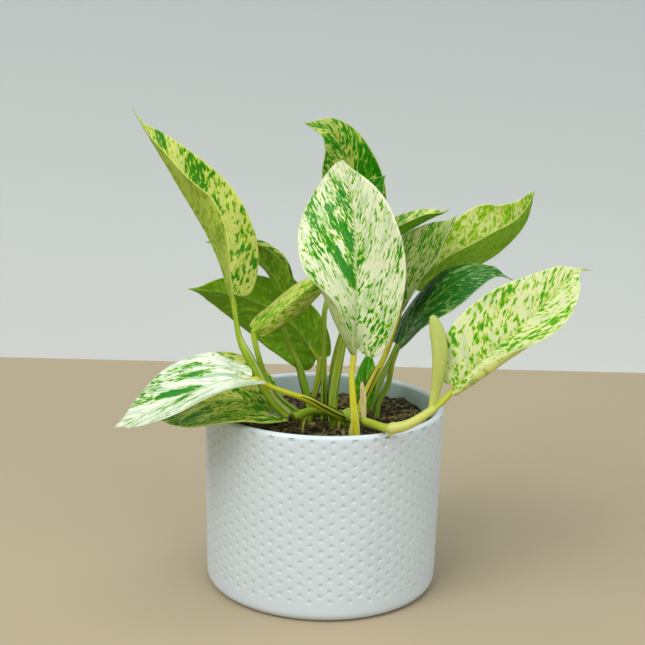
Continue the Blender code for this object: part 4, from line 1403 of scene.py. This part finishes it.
class SoilSettings(bpy.types.PropertyGroup):
    crumb_count: IntProperty(
        name="Crumbs", description="Loose crumbs on the soil", default=1900, min=0)
    fibre_count: IntProperty(
        name="Fibres", description="Loose fibres on the soil", default=150, min=0)
    peat: colour_setting("Peat", "Lighter peat", "#66552b")
    # partly painted shade: darker than the crumbs, for the shade in the gaps between them as well
    # as the peat's colour
    bed_with_gap_shade: colour_setting("Bed", "Fine peat between the crumbs", "#2c2110")
    peat_dark: colour_setting("Damp peat", "Darkest peat", "#120e07")
    bark: colour_setting("Bark", "Bark flecks in the mix", "#675628")
    straw: colour_setting("Straw", "Straw-coloured bits and fibres", "#a99a52")


class LeafSettings(bpy.types.PropertyGroup):
    thickness: length_setting("Thickness", "Thickness of a blade away from its midrib", 0.5)


class StalkSettings(bpy.types.PropertyGroup):
    green: colour_setting("Green", "Green stalk skin", "#72a81c")
    yellow: colour_setting("Yellow", "Yellow stalk skin", "#d8d024")
    dry_edge: colour_setting("Dry edge", "Dried edge of a leaf sheath", "#2a1a0e")


class StageSettings(bpy.types.PropertyGroup):
    focal_length: FloatProperty(
        name="Focal length", description="Focal length of the lens in millimetres",
        default=36 * 1200 / 645, min=10.0)
    backdrop_distance: FloatProperty(
        name="Backdrop distance", description="From the pot's axis to the backdrop",
        default=0.461, min=0.2, unit="LENGTH", subtype="DISTANCE")
    window_power: power_setting("Window light", "Power of the main soft light", 18.5)
    fill_power: power_setting("Fill light", "Power of the fill light", 8.4)
    top_power: power_setting("Top light", "Power of the light above", 9.2)
    room_light: FloatProperty(
        name="Room light", description="Strength of the light from all round",
        default=0.4, min=0.0)


# ---------------------------------------------------------------- operators

class POTHOS_OT_pot(bpy.types.Operator):
    """Build the dimpled, glazed pot"""
    bl_idname = "pothos.pot"
    bl_label = "Pot"

    def execute(self, context):
        build_pot(context.scene.pothos_pot)
        return {"FINISHED"}


class POTHOS_OT_soil(bpy.types.Operator):
    """Build the soil with its crumbs and fibres"""
    bl_idname = "pothos.soil"
    bl_label = "Soil"

    def execute(self, context):
        settings = context.scene.pothos_soil
        build_soil(settings)
        build_crumbs(settings)
        build_fibres(settings)
        return {"FINISHED"}


class POTHOS_OT_leaves(bpy.types.Operator):
    """Build the leaf blades"""
    bl_idname = "pothos.leaves"
    bl_label = "Leaves"

    def execute(self, context):
        build_leaves(context.scene.pothos_leaves)
        return {"FINISHED"}


class POTHOS_OT_stalks(bpy.types.Operator):
    """Build the leaf stalks"""
    bl_idname = "pothos.stalks"
    bl_label = "Leaf stalks"

    def execute(self, context):
        build_stalks(context.scene.pothos_stalks)
        return {"FINISHED"}


class POTHOS_OT_stems(bpy.types.Operator):
    """Build the creeping stems, the rolled young leaf and the dried sheath"""
    bl_idname = "pothos.stems"
    bl_label = "Stems"

    def execute(self, context):
        settings = context.scene.pothos_stalks
        build_stems(settings)
        build_root_stubs(settings)
        build_spike(settings)
        build_sheath()
        return {"FINISHED"}


class POTHOS_OT_stage(bpy.types.Operator):
    """Build the floor, the backdrop, the lights and the camera"""
    bl_idname = "pothos.stage"
    bl_label = "Stage"

    def execute(self, context):
        build_stage(context.scene.pothos_stage)
        return {"FINISHED"}


OPERATORS = (POTHOS_OT_stage, POTHOS_OT_pot, POTHOS_OT_soil, POTHOS_OT_leaves,
             POTHOS_OT_stalks, POTHOS_OT_stems)
SETTINGS = {"pothos_pot": PotSettings, "pothos_soil": SoilSettings,
            "pothos_leaves": LeafSettings, "pothos_stalks": StalkSettings,
            "pothos_stage": StageSettings}


class POTHOS_PT_panel(bpy.types.Panel):
    """Lists the pieces of the plant with their settings"""
    bl_idname = "POTHOS_PT_panel"
    bl_label = "Potted pothos"
    bl_space_type = "VIEW_3D"
    bl_region_type = "UI"
    bl_category = "Pothos"

    def draw(self, context):
        for operator in OPERATORS:
            self.layout.operator(operator.bl_idname)
        for key, group in SETTINGS.items():
            box = self.layout.box()
            for name in group.__annotations__:
                box.prop(getattr(context.scene, key), name)


def register():
    for group in SETTINGS.values():
        bpy.utils.register_class(group)
    for cls in (*OPERATORS, POTHOS_PT_panel):
        bpy.utils.register_class(cls)
    for key, group in SETTINGS.items():
        setattr(bpy.types.Scene, key, PointerProperty(type=group))


def unregister():
    for key in SETTINGS:
        delattr(bpy.types.Scene, key)
    for cls in (POTHOS_PT_panel, *OPERATORS):
        bpy.utils.unregister_class(cls)
    for group in SETTINGS.values():
        bpy.utils.unregister_class(group)


def main():
    """Build everything in order."""
    register()
    bpy.ops.pothos.stage()
    bpy.ops.pothos.pot()
    bpy.ops.pothos.soil()
    bpy.ops.pothos.leaves()
    bpy.ops.pothos.stalks()
    bpy.ops.pothos.stems()


if __name__ == "__main__":
    main()
